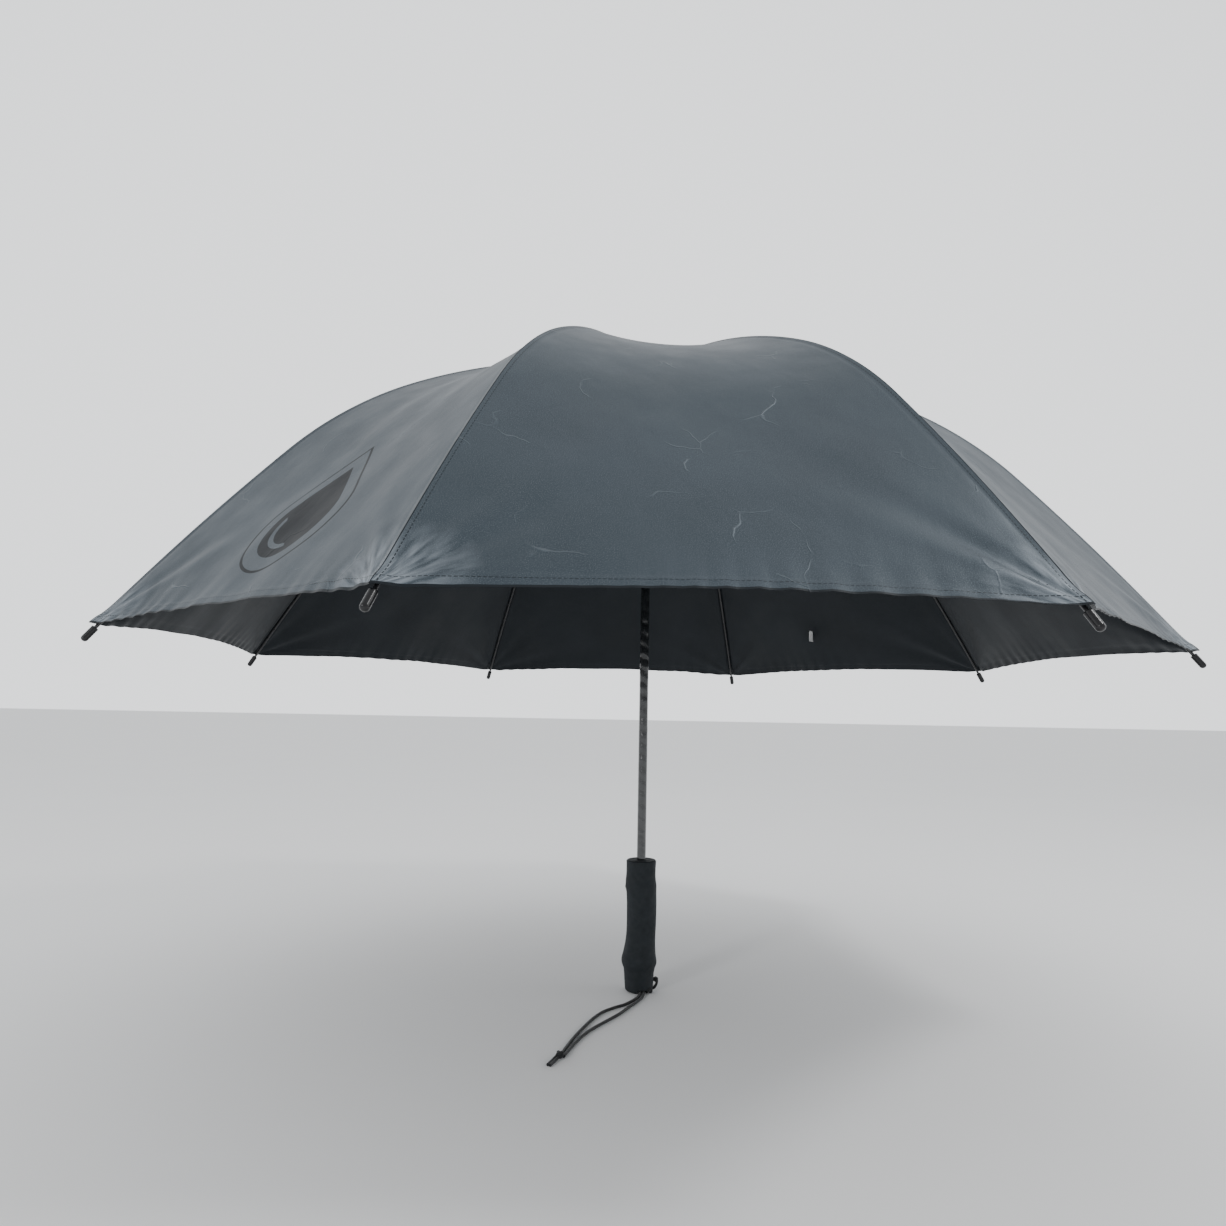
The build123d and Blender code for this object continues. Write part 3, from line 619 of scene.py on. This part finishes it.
# %% Grip form
_, grip_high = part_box("grip")
grip_height = grip_high.z
heights = np.array([0, 9, 20, 27, 34, 44, 52, 66, 80, 92, 98, 104, 112, 120]) * MM
radii = np.array([13.5, 14.0, 14.6, 16.9, 15.2, 13.9, 13.6, 13.9, 14.2, 14.5, 15.0, 14.2, 14.1, 14.4]) * MM
bend = np.array([-0.5, -0.6, -0.7, -0.7, -0.4, 0.1, 0.5, 0.9, 1.0, 0.6, 0.2, 0.0, 0.0, 0.0]) * MM


def smooth_along(at, values):
    """A soft curve through values at those heights: straight pieces, rounded by averaging."""
    reach = np.linspace(-3.2, 3.2, 9) * MM
    return np.mean([np.interp(at + shift, heights, values) for shift in reach], axis=0)


around = np.linspace(0, 2 * pi, 73)[:-1]
levels = np.linspace(0, grip_height, 121)
ring_z, ring_a = np.meshgrid(levels, around, indexing="ij")
ring_r = smooth_along(ring_z + 1.6 * MM * np.cos(ring_a - 0.5), radii)
ledge_z = 30.5 * MM + 1.3 * MM * np.cos(ring_a - 0.4)
ring_r -= 0.5 * MM / (1 + np.exp((ring_z - ledge_z + 7 * MM) / (0.35 * MM)))
knuckle_z = 96 * MM + 1.6 * MM * np.cos(ring_a + 0.6)
ring_r += 0.75 * MM * np.exp(-(((ring_z - knuckle_z) / (2.4 * MM)) ** 2)) * (0.55 - 0.45 * np.cos(ring_a))
ring_r += 0.22 * MM * np.sin(2 * ring_a + ring_z / 0.021) + 0.14 * MM * np.sin(3 * ring_a - ring_z / 0.013)
foot_round = np.clip(1 - levels / (3.2 * MM), 0, 1)[:, None]
head_round = np.clip(1 - (grip_height - levels) / (1.2 * MM), 0, 1)[:, None]
ring_r -= 3.2 * MM * (1 - np.sqrt(1 - np.minimum(foot_round, 0.999) ** 2))
ring_r -= 1.0 * MM * (1 - np.sqrt(1 - np.minimum(head_round, 0.999) ** 2))
middle_x = smooth_along(ring_z, bend)
skin = np.stack([middle_x + ring_r * np.cos(ring_a), ring_r * np.sin(ring_a), ring_z], -1)

bore_r = 4.4 * MM
bore_bottom = 14 * MM


def ring_at(radius, z):
    return np.stack([radius * np.cos(around), radius * np.sin(around), np.full_like(around, z)], -1)


rings = [*skin, *[ring_at(level, grip_height) for level in (0.012, 0.009, 0.006, bore_r)]]
rings += [ring_at(bore_r, grip_height - 4 * MM), ring_at(bore_r, bore_bottom)]
rings = [ring_at(level, 0.0) for level in (0.003, 0.0065)] + rings
grip_points = np.concatenate([np.array(ring) for ring in rings])
turns = len(around)
grip_faces = []
for ring in range(len(rings) - 1):
    for step in range(turns):
        ahead = (step + 1) % turns
        low, high = ring * turns, (ring + 1) * turns
        grip_faces.append((low + step, low + ahead, high + ahead, high + step))
grip_faces.append(tuple(range(turns))[::-1])
grip_faces.append(tuple(range((len(rings) - 1) * turns, len(rings) * turns)))
grip_mesh = bpy.data.meshes.new("grip_foam")
grip_mesh.from_pydata(grip_points.tolist(), [], grip_faces)
grip_mesh.update()
grip = show(bpy.data.objects.new("grip_foam", grip_mesh))
print("grip rings", len(rings), "height", round(grip_height, 4))

# %% Slot for the cord
slot_x, slot_width, slot_height = 1.6 * MM, 7.6 * MM, 3.4 * MM


def box_mesh(name, low, high):
    xs, ys, zs = zip(low, high)
    corners = [(x, y, z) for x in xs for y in ys for z in zs]
    sides = [(0, 1, 3, 2), (4, 6, 7, 5), (0, 4, 5, 1), (2, 3, 7, 6), (0, 2, 6, 4), (1, 5, 7, 3)]
    mesh = bpy.data.meshes.new(name)
    mesh.from_pydata(corners, [], sides)
    return show(bpy.data.objects.new(name, mesh))


cutters = [
    box_mesh(
        "slot_front",
        (slot_x - slot_width / 2, -0.03, -0.005),
        (slot_x + slot_width / 2, 0.0035, slot_height),
    ),
    box_mesh("slot_side", (slot_x, -0.0038, -0.005), (0.03, 0.0038, slot_height)),
]
for cutter in cutters:
    cut = grip.modifiers.new("slot", "BOOLEAN")
    cut.object = cutter
    cut.operation = "DIFFERENCE"
bpy.context.view_layer.update()
cut_mesh = bpy.data.meshes.new_from_object(grip.evaluated_get(bpy.context.evaluated_depsgraph_get()))
grip.modifiers.clear()
grip.data = cut_mesh
for cutter in cutters:
    bpy.data.objects.remove(cutter)
cut_mesh.polygons.foreach_set("use_smooth", np.ones(len(cut_mesh.polygons), bool))
cut_mesh.set_sharp_from_angle(angle=radians(40))
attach(grip, "shaft")
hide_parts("grip")
print("grip faces", len(cut_mesh.polygons))

# %% [markdown]
# ## Cord pieces take their places
# Each strand stands for its tube in the solid model, which is hidden, and its length is printed.
# The small knots belong to the shaft's body too, because the whole cord hangs from the grip.

small_cords = (
    (knot, ["cord_knot"]),
    (tail, ["cord_tail"]),
    (hold, ["cord_hitch"]),
    (side_knot, []),
    (foot_bead, []),
)
for piece, nodes in small_cords:
    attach(piece, "shaft")
    if nodes:
        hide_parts(*nodes)


def hang(strand, line, node):
    """Attaches a strand of the loop to the shaft's body, hides its tube and prints its length."""
    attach(strand, "shaft")
    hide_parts(node)
    steps = np.diff(np.array(line), axis=0)
    print(strand.name, "length", round(float(np.linalg.norm(steps, axis=1).sum()), 4))


hang(left_strand, left_line, "cord_left")
hang(right_strand, right_line, "cord_right")

# %% [markdown]
# ## Materials
# Every finish is a small node tree. A shared helper makes the shader and sets the numbers that
# are the same all over the surface. What varies, such as grain, flecks and stitches, is worked
# out from each piece's own coordinates, so that it stays on the surface when the piece moves.

# %% Material helpers
black, white = (0, 0, 0), (1, 1, 1)


def finish_of(name, roughness, metallic=0.0, specular=0.5, coat=0.0, sheen=0.0):
    made = bpy.data.materials.new(name)
    made.use_nodes = True
    shader = made.node_tree.nodes["Principled BSDF"]
    shader.inputs["Roughness"].default_value = roughness
    shader.inputs["Metallic"].default_value = metallic
    shader.inputs["Specular IOR Level"].default_value = specular
    shader.inputs["Coat Weight"].default_value = coat
    shader.inputs["Coat Roughness"].default_value = 0.12
    shader.inputs["Sheen Weight"].default_value = sheen
    shader.inputs["Sheen Roughness"].default_value = 0.45
    return made


def add(made, kind, **settings):
    """A node, with its settings, and inputs given as in_Name or in_0."""
    node = made.node_tree.nodes.new(kind)
    for key, value in settings.items():
        if key.startswith("in_"):
            slot_name = key[3:].replace("_", " ")
            node.inputs[int(slot_name) if slot_name.isdigit() else slot_name].default_value = value
        else:
            setattr(node, key, value)
    return node


def join(made, start, end):
    made.node_tree.links.new(start, end)


def sums(made, operation, first, second):
    """A math node of two values, each a socket or a number."""
    node = add(made, "ShaderNodeMath", operation=operation)
    for socket, value in zip(node.inputs, (first, second)):
        if isinstance(value, (int, float)):
            socket.default_value = value
        else:
            join(made, value, socket)
    return node.outputs[0]


def place_of(made):
    return add(made, "ShaderNodeTexCoord").outputs["Object"]


def grain(made, place, scale, detail=3.0, stretch=None):
    """Noise between 0 and 1 at a scale in features per metre."""
    if stretch:
        mapping = add(made, "ShaderNodeMapping")
        mapping.inputs["Scale"].default_value = stretch
        join(made, place, mapping.inputs["Vector"])
        place = mapping.outputs["Vector"]
    node = add(made, "ShaderNodeTexNoise", in_Scale=scale, in_Detail=detail)
    join(made, place, node.inputs["Vector"])
    return node.outputs["Fac"]


def ramp(made, value, stops):
    """Colours by value. Each stop is a position and an RGB colour."""
    node = add(made, "ShaderNodeValToRGB")
    for spare in list(node.color_ramp.elements)[1:]:
        node.color_ramp.elements.remove(spare)
    for number, (position, colour) in enumerate(stops):
        element = node.color_ramp.elements[0] if number == 0 else node.color_ramp.elements.new(position)
        element.position = position
        element.color = (*colour, 1)
    join(made, value, node.inputs["Fac"])
    return node.outputs["Color"]


def between(made, value, low, high):
    """A value from 0 to 1, moved into a range."""
    node = add(made, "ShaderNodeMapRange", in_3=low, in_4=high)
    join(made, value, node.inputs[0])
    return node.outputs[0]


def mixed(made, share, first, second):
    """Two colours, mixed by a share. Each is a socket or an RGB colour."""
    node = add(made, "ShaderNodeMix", data_type="RGBA")
    join(made, share, node.inputs[0])
    for socket, value in ((node.inputs[6], first), (node.inputs[7], second)):
        if isinstance(value, tuple):
            socket.default_value = (*value, 1)
        else:
            join(made, value, socket)
    return node.outputs[2]


def bumped(made, height, strength, distance, under=None):
    node = add(made, "ShaderNodeBump", in_Strength=strength, in_Distance=distance)
    join(made, height, node.inputs["Height"])
    if under is not None:
        join(made, under, node.inputs["Normal"])
    return node.outputs["Normal"]


def wear(made, colour, roughness, normal):
    shader = made.node_tree.nodes["Principled BSDF"]
    for socket, value in (("Base Color", colour), ("Roughness", roughness), ("Normal", normal)):
        if value is not None:
            join(made, value, shader.inputs[socket])
    return made


print("helpers ready")

# %% [markdown]
# The canopy cloth is thin nylon with a grey metallic coat outside and a nearly black one inside.
# Close to, it has a fine speckle where the weave shows through the coat. Thin creases lie on it in
# patches, from the times it was folded, with a painted highlight that makes them lighter. Painted
# highlight streaks fade away from each tip, where the stretched coat would shine. Seams along the
# ribs are felled, with a row of stitches each side, and painted shade darkens each seam's groove and
# the hem's edge. The hem is turned up and stitched once.

# %% Canopy cloth outside


def measured(made, name):
    """One of the flat measures that every piece of cloth carries."""
    node = add(made, "ShaderNodeAttribute", attribute_name=name)
    return node.outputs["Fac"]


def flat_place(made):
    node = add(made, "ShaderNodeCombineXYZ")
    join(made, measured(made, "across"), node.inputs["X"])
    join(made, measured(made, "down"), node.inputs["Y"])
    return node.outputs["Vector"]


def band(made, value, middle, half_width):
    """1 where a value is near the middle, 0 elsewhere."""
    node = add(made, "ShaderNodeMath", operation="COMPARE", in_1=middle, in_2=half_width)
    join(made, value, node.inputs[0])
    return node.outputs[0]


def dashes(made, value, pitch):
    """1 for most of each stitch and 0 in the gap after it."""
    step = add(made, "ShaderNodeMath", operation="FRACT")
    join(made, sums(made, "DIVIDE", value, pitch), step.inputs[0])
    return sums(made, "LESS_THAN", step.outputs[0], 0.68)


def stitches(made):
    """A mask of every stitch on a piece of cloth."""
    pitch, half_thread, from_seam, from_edge = 2.8 * MM, 0.28 * MM, 2.6 * MM, 6.2 * MM
    seam_row = band(made, measured(made, "from_rib"), from_seam, half_thread)
    hem_row = band(made, measured(made, "from_hem"), from_edge, half_thread)
    seam = sums(made, "MULTIPLY", seam_row, dashes(made, measured(made, "down"), pitch))
    edge = sums(made, "MULTIPLY", hem_row, dashes(made, measured(made, "across"), pitch))
    return sums(made, "MAXIMUM", seam, edge)


def raindrop(made):
    """The mark printed on one gore: a plain raindrop inside a thin line of the same form.

    Its foot is a circle. Above, its flanks are straight, and leave the circle at one angle."""
    flank_cos, flank_sin = 0.82, 0.57
    drop_size, line_size, gleam_size = 0.034, 0.047, 0.0235
    x = sums(made, "SUBTRACT", measured(made, "across"), 0.006)
    y = sums(made, "SUBTRACT", measured(made, "down"), 0.456)
    side = add(made, "ShaderNodeMath", operation="ABSOLUTE")
    join(made, x, side.inputs[0])
    rise = sums(made, "MULTIPLY", y, -1.0)
    squares = [sums(made, "MULTIPLY", side.outputs[0], side.outputs[0]), sums(made, "MULTIPLY", y, y)]
    circle = sums(made, "POWER", sums(made, "ADD", *squares), 0.5)
    beside = sums(made, "MULTIPLY", side.outputs[0], flank_cos)
    above = sums(made, "MULTIPLY", rise, flank_sin)
    rise_part = sums(made, "MULTIPLY", rise, flank_cos)
    side_part = sums(made, "MULTIPLY", side.outputs[0], flank_sin)
    steep = sums(made, "GREATER_THAN", rise_part, side_part)
    corner = sums(made, "SUBTRACT", sums(made, "ADD", beside, above), circle)
    size = sums(made, "ADD", circle, sums(made, "MULTIPLY", steep, corner))
    inside = sums(made, "LESS_THAN", size, drop_size)
    line = band(made, size, line_size, 0.0012)
    lit_side = sums(made, "GREATER_THAN", sums(made, "SUBTRACT", y, x), 0.016)
    gleam = sums(made, "MULTIPLY", band(made, size, gleam_size, 0.0022), lit_side)
    return sums(made, "MAXIMUM", sums(made, "SUBTRACT", inside, gleam), line)


def creases(made, flat):
    """Thin folded lines, in patches: 1 on a line and 0 off it."""
    push = add(made, "ShaderNodeTexNoise", in_Scale=11.0, in_Detail=4.0)
    join(made, flat, push.inputs["Vector"])
    moved = add(made, "ShaderNodeVectorMath", operation="MULTIPLY_ADD")
    join(made, push.outputs["Color"], moved.inputs[0])
    moved.inputs[1].default_value = (0.10, 0.10, 0.0)
    join(made, flat, moved.inputs[2])
    cells = add(made, "ShaderNodeTexVoronoi", feature="DISTANCE_TO_EDGE", in_Scale=19.0)
    join(made, moved.outputs["Vector"], cells.inputs["Vector"])
    lines = ramp(made, cells.outputs["Distance"], [(0.0, white), (0.016, black)])
    patches = ramp(made, grain(made, flat, 16.0, 3.0), [(0.54, black), (0.66, white)])
    return sums(made, "MULTIPLY", lines, patches)


def painted_tip_highlight(made):
    """Painted highlight: bright streaks, standing for the shine of the stretched coat, that fade away from each
    tip.
    """
    squares = [sums(made, "POWER", measured(made, name), 2.0) for name in ("from_rib", "from_hem")]
    reach = sums(made, "POWER", sums(made, "ADD", *squares), 0.5)
    near = ramp(made, sums(made, "MULTIPLY", reach, 10.0), [(0.02, white), (0.5, black)])
    from_tip = sums(made, "ADD", measured(made, "from_hem"), 3 * MM)
    turn = sums(made, "ARCTAN2", measured(made, "from_rib"), from_tip)
    spread = add(made, "ShaderNodeCombineXYZ")
    join(made, turn, spread.inputs["X"])
    join(made, sums(made, "MULTIPLY", reach, 9.0), spread.inputs["Y"])
    streaks = grain(made, spread.outputs["Vector"], 6.0, 2.0)
    shine = ramp(made, streaks, [(0.35, (0.05, 0.05, 0.05)), (0.7, white)])
    return sums(made, "MULTIPLY", near, shine)


def outer_cloth(name, printed):
    made = finish_of(name, 0.5, metallic=0.35, specular=0.3)
    flat = flat_place(made)
    tone = grain(made, flat, 9.0, 4.0)
    colour = ramp(made, tone, [(0.3, (0.037, 0.050, 0.062)), (0.7, (0.050, 0.066, 0.081))])
    fleck = grain(made, flat, 1900.0, 1.0)
    speckle = ramp(made, fleck, [(0.5, black), (0.75, white)])
    colour = mixed(made, speckle, colour, (0.11, 0.135, 0.155))
    folds = creases(made, flat)
    # painted highlight: the creases are painted lighter, as their ridges would catch the light; their bump below
    # is real
    colour = mixed(made, sums(made, "MULTIPLY", folds, 0.3), colour, (0.20, 0.24, 0.27))
    if printed:
        mark = raindrop(made)
        colour = mixed(made, mark, colour, (0.008, 0.010, 0.013))
        shader = made.node_tree.nodes["Principled BSDF"]
        join(made, between(made, mark, 0.35, 0.0), shader.inputs["Metallic"])
        join(made, between(made, mark, 0.3, 0.1), shader.inputs["Specular IOR Level"])
    # painted highlight: light streaks near each tip are mixed into the cloth's colour
    colour = mixed(made, painted_tip_highlight(made), colour, (0.34, 0.38, 0.42))
    sewn = stitches(made)
    colour = mixed(made, sewn, colour, (0.020, 0.026, 0.032))
    # painted shade: a dark line in each rib seam's groove and along the hem's edge
    seam_and_hem_shade = sums(made, "LESS_THAN", measured(made, "from_rib"), 0.5 * MM)
    seam_and_hem_shade = sums(made, "MAXIMUM", seam_and_hem_shade, sums(made, "LESS_THAN", measured(made, "from_hem"), 1.6 * MM))
    colour = mixed(made, seam_and_hem_shade, colour, (0.010, 0.014, 0.018))
    dull = between(made, grain(made, flat, 34.0, 5.0), 0.42, 0.6)
    threads = [grain(made, flat, 1400.0, 1.0, stretch) for stretch in ((1, 0.25, 1), (0.25, 1, 1))]
    weave = sums(made, "ADD", *threads)
    normal = bumped(made, weave, 0.16, 0.0002)
    rumple = grain(made, flat, 42.0, 6.0, (1.0, 0.55, 1.0))
    normal = bumped(made, rumple, 0.4, 0.0016, normal)
    normal = bumped(made, folds, 0.6, 0.0010, normal)
    normal = bumped(made, sewn, 0.5, 0.0002, normal)
    return wear(made, colour, dull, normal)


cloth_outside = outer_cloth("coated_cloth", False)
cloth_printed = outer_cloth("coated_cloth_printed", True)


def inner_cloth():
    made = finish_of("black_lining", 0.62, specular=0.3, sheen=0.08)
    flat = flat_place(made)
    tones = [(0.3, (0.0030, 0.0062, 0.0095)), (0.7, (0.0058, 0.0100, 0.0145))]
    colour = ramp(made, grain(made, flat, 12.0, 4.0), tones)
    speckle = ramp(made, grain(made, flat, 1200.0, 1.0), [(0.6, black), (0.75, white)])
    colour = mixed(made, speckle, colour, (0.02, 0.026, 0.032))
    rumple = grain(made, flat, 40.0, 5.0, (1.0, 0.5, 1.0))
    dull = between(made, grain(made, flat, 30.0), 0.52, 0.7)
    return wear(made, colour, dull, bumped(made, rumple, 0.3, 0.0014))


cloth_inside = inner_cloth()
printed_gore = 7
for piece, gore in canopy:
    piece.data.materials.append(cloth_printed if gore == printed_gore else cloth_outside)
    piece.data.materials.append(cloth_inside)
print("cloth on", len(canopy), "pieces")

# %% [markdown]
# The hard finishes come next. The shaft is a wound tube: a ribbon of fibre laid in a steep helix
# leaves low ridges in the clear coat, and the light runs down them in a broken wavy line.

# %% Shaft finish


def wound_tube():
    made = finish_of("wound_tube", 0.16, specular=0.6, coat=0.8)
    place = place_of(made)
    parts = add(made, "ShaderNodeSeparateXYZ")
    join(made, place, parts.inputs[0])
    turn = sums(made, "ARCTAN2", parts.outputs["Y"], parts.outputs["X"])
    pitch, crossed_pitch = 0.0115, 0.0172
    wound = sums(made, "ADD", turn, sums(made, "MULTIPLY", parts.outputs["Z"], 2 * pi / pitch))
    crossed = sums(made, "SUBTRACT", turn, sums(made, "MULTIPLY", parts.outputs["Z"], 2 * pi / crossed_pitch))
    weaker = sums(made, "MULTIPLY", sums(made, "SINE", crossed, 0), 0.6)
    waves = sums(made, "ADD", sums(made, "SINE", wound, 0), weaker)
    uneven = sums(made, "ADD", waves, sums(made, "MULTIPLY", grain(made, place, 260.0, 2.0), 1.4))
    shade = sums(made, "MULTIPLY", sums(made, "ADD", uneven, 2.0), 0.25)
    colour = ramp(made, shade, [(0.2, (0.005, 0.006, 0.007)), (0.8, (0.014, 0.016, 0.018))])
    dull = between(made, grain(made, place, 90.0), 0.1, 0.22)
    return wear(made, colour, dull, bumped(made, uneven, 0.45, 0.0003))


def moulded(name, low, high, roughness, texture, strength, **finish):
    """A black plastic, rubber or metal with a fine surface texture."""
    made = finish_of(name, roughness, **finish)
    place = place_of(made)
    colour = ramp(made, grain(made, place, 70.0, 4.0), [(0.3, low), (0.7, high)])
    dull = between(made, grain(made, place, 240.0, 3.0), roughness * 0.8, roughness * 1.25)
    return wear(made, colour, dull, bumped(made, grain(made, place, texture, 2.0), strength, 0.0002))


# name, darkest colour, lightest colour, roughness, texture per metre, bump, other settings
hard_finishes = [
    ("black_plastic", (0.012, 0.013, 0.014), (0.022, 0.023, 0.025), 0.34, 1500.0, 0.3, {}),
    ("cap_plastic", (0.005, 0.005, 0.006), (0.010, 0.010, 0.012), 0.24, 700.0, 0.08, {"specular": 0.4}),
    ("steel", (0.30, 0.30, 0.31), (0.42, 0.42, 0.43), 0.3, 900.0, 0.2, {"metallic": 1.0}),
    ("black_aluminium", (0.012, 0.013, 0.015), (0.022, 0.024, 0.027), 0.32, 1300.0, 0.2, {"metallic": 0.5}),
    ("glass_fibre", (0.008, 0.008, 0.009), (0.018, 0.018, 0.020), 0.28, 900.0, 0.2, {"coat": 0.3}),
    ("grip_foam", (0.010, 0.0135, 0.0165), (0.0165, 0.0215, 0.026), 0.74, 1900.0, 0.55, {"specular": 0.4}),
]
finishes = {"wound_tube": wound_tube()}
for name, *settings, extra in hard_finishes:
    finishes[name] = moulded(name, *settings, **extra)
print("finishes", sorted(finishes))

# %% [markdown]
# Cord is braided, so its surface is a lattice of small crossing strands. The bump runs on the
# cord's own coordinates. The label is white woven tape.

# %% Cord, strap and label


def braid():
    made = finish_of("braided_cord", 0.7, specular=0.35, sheen=0.2)
    place = place_of(made)
    tones = [(0.35, (0.007, 0.008, 0.009)), (0.7, (0.020, 0.022, 0.024))]
    colour = ramp(made, grain(made, place, 900.0, 2.0), tones)
    weave = add(made, "ShaderNodeTexVoronoi", in_Scale=1300.0)
    join(made, place, weave.inputs["Vector"])
    return wear(made, colour, None, bumped(made, weave.outputs["Distance"], 0.7, 0.0004))


def tape(name, low, high, roughness):
    made = finish_of(name, roughness, specular=0.3, sheen=0.2)
    place = place_of(made)
    colour = ramp(made, grain(made, place, 60.0, 3.0), [(0.3, low), (0.7, high)])
    weave = grain(made, place, 1600.0, 1.0, (1, 1, 0.3))
    return wear(made, colour, None, bumped(made, weave, 0.5, 0.0003))


cord_finish = braid()
for piece in (left_strand, right_strand, knot, tail, hold, side_knot, foot_bead):
    piece.data.materials.append(cord_finish)
strap.data.materials.append(tape("strap_cloth", (0.05, 0.062, 0.074), (0.075, 0.09, 0.105), 0.5))
label.data.materials.append(tape("label_tape", (0.62, 0.63, 0.63), (0.78, 0.79, 0.79), 0.6))
grip.data.materials.append(finishes["grip_foam"])

for subpart in frame["record"]["subparts"]:
    node = frame["nodes"][subpart["node"]]
    if node.hide_render:
        continue
    node.data.materials.clear()
    node.data.materials.append(finishes[subpart["material_slot"]])
print("solid nodes finished", sum(not node.hide_render for node in frame["nodes"].values()))

# %% [markdown]
# ## Floor and light
# The umbrella stands on a plain pale floor. Most of the light comes from a pale world around it,
# which is stronger behind the umbrella, so that the near gore stays darker but keeps its grain.
# Four panels add to it: a soft one on each side, a small one for the front right tip, and a narrow
# one that draws a line of light on the shaft.

# %% Floor and light


def pale(name, shade):
    made = finish_of(name, 0.9, specular=0.1)
    place = place_of(made)
    colour = ramp(made, grain(made, place, 3.0), [(0.3, (shade, shade, shade)), (0.7, (shade * 1.01,) * 3)])
    return wear(made, colour, None, None)


floor_mesh = bpy.data.meshes.new("floor")
floor_reach = 30
floor_corners = [(x * floor_reach, y * floor_reach, 0) for x, y in ((-1, -1), (1, -1), (1, 1), (-1, 1))]
floor_mesh.from_pydata(floor_corners, [], [(0, 1, 2, 3)])
floor = show(bpy.data.objects.new("floor", floor_mesh))
floor.data.materials.append(pale("floor_finish", 0.9))
floor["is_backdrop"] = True

world = bpy.data.worlds.new("studio")
scene.world = world
world.use_nodes = True
nodes, links = world.node_tree.nodes, world.node_tree.links
direction = nodes.new("ShaderNodeTexCoord")
parts = nodes.new("ShaderNodeSeparateXYZ")
links.new(direction.outputs["Generated"], parts.inputs[0])
backness = nodes.new("ShaderNodeMapRange")
backness.interpolation_type = "SMOOTHSTEP"
for socket, value in zip(backness.inputs[1:5], (-0.2, 0.9, 0.8, 1.7)):
    socket.default_value = value
links.new(parts.outputs["Y"], backness.inputs[0])
links.new(backness.outputs[0], nodes["Background"].inputs["Strength"])
nodes["Background"].inputs["Color"].default_value = (0.96, 0.98, 1.0, 1)


def panel(name, place, aim, size, power):
    light = bpy.data.lights.new(name, "AREA")
    light.shape = "RECTANGLE"
    light.size, light.size_y = size
    light.energy = power
    lamp = show(bpy.data.objects.new(name, light))
    lamp.location = place
    lamp.rotation_euler = (Vector(aim) - Vector(place)).to_track_quat("-Z", "Y").to_euler()
    return lamp


panel("left_panel", (-2.2, -0.5, 1.3), (-0.3, 0, 0.4), (1.2, 1.0), 3)
panel("right_panel", (2.3, -0.3, 1.2), (0.4, 0, 0.4), (1.2, 1.0), 6)
panel("tip_panel", (1.05, -0.62, 1.6), (0.2, -0.4, 0.33), (0.3, 0.3), 9)
panel("shaft_panel", (-1.3, -1.5, 0.8), (0, 0, 0.3), (0.25, 0.7), 7)

# %% [markdown]
# ## Size
# The box around every shown piece, the floor left out, is worked out and printed. The looks have
# to stay inside the solid model's box.

bpy.context.view_layer.update()
low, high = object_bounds()
print("box", [round(value, 4) for value in (*low, *high)])
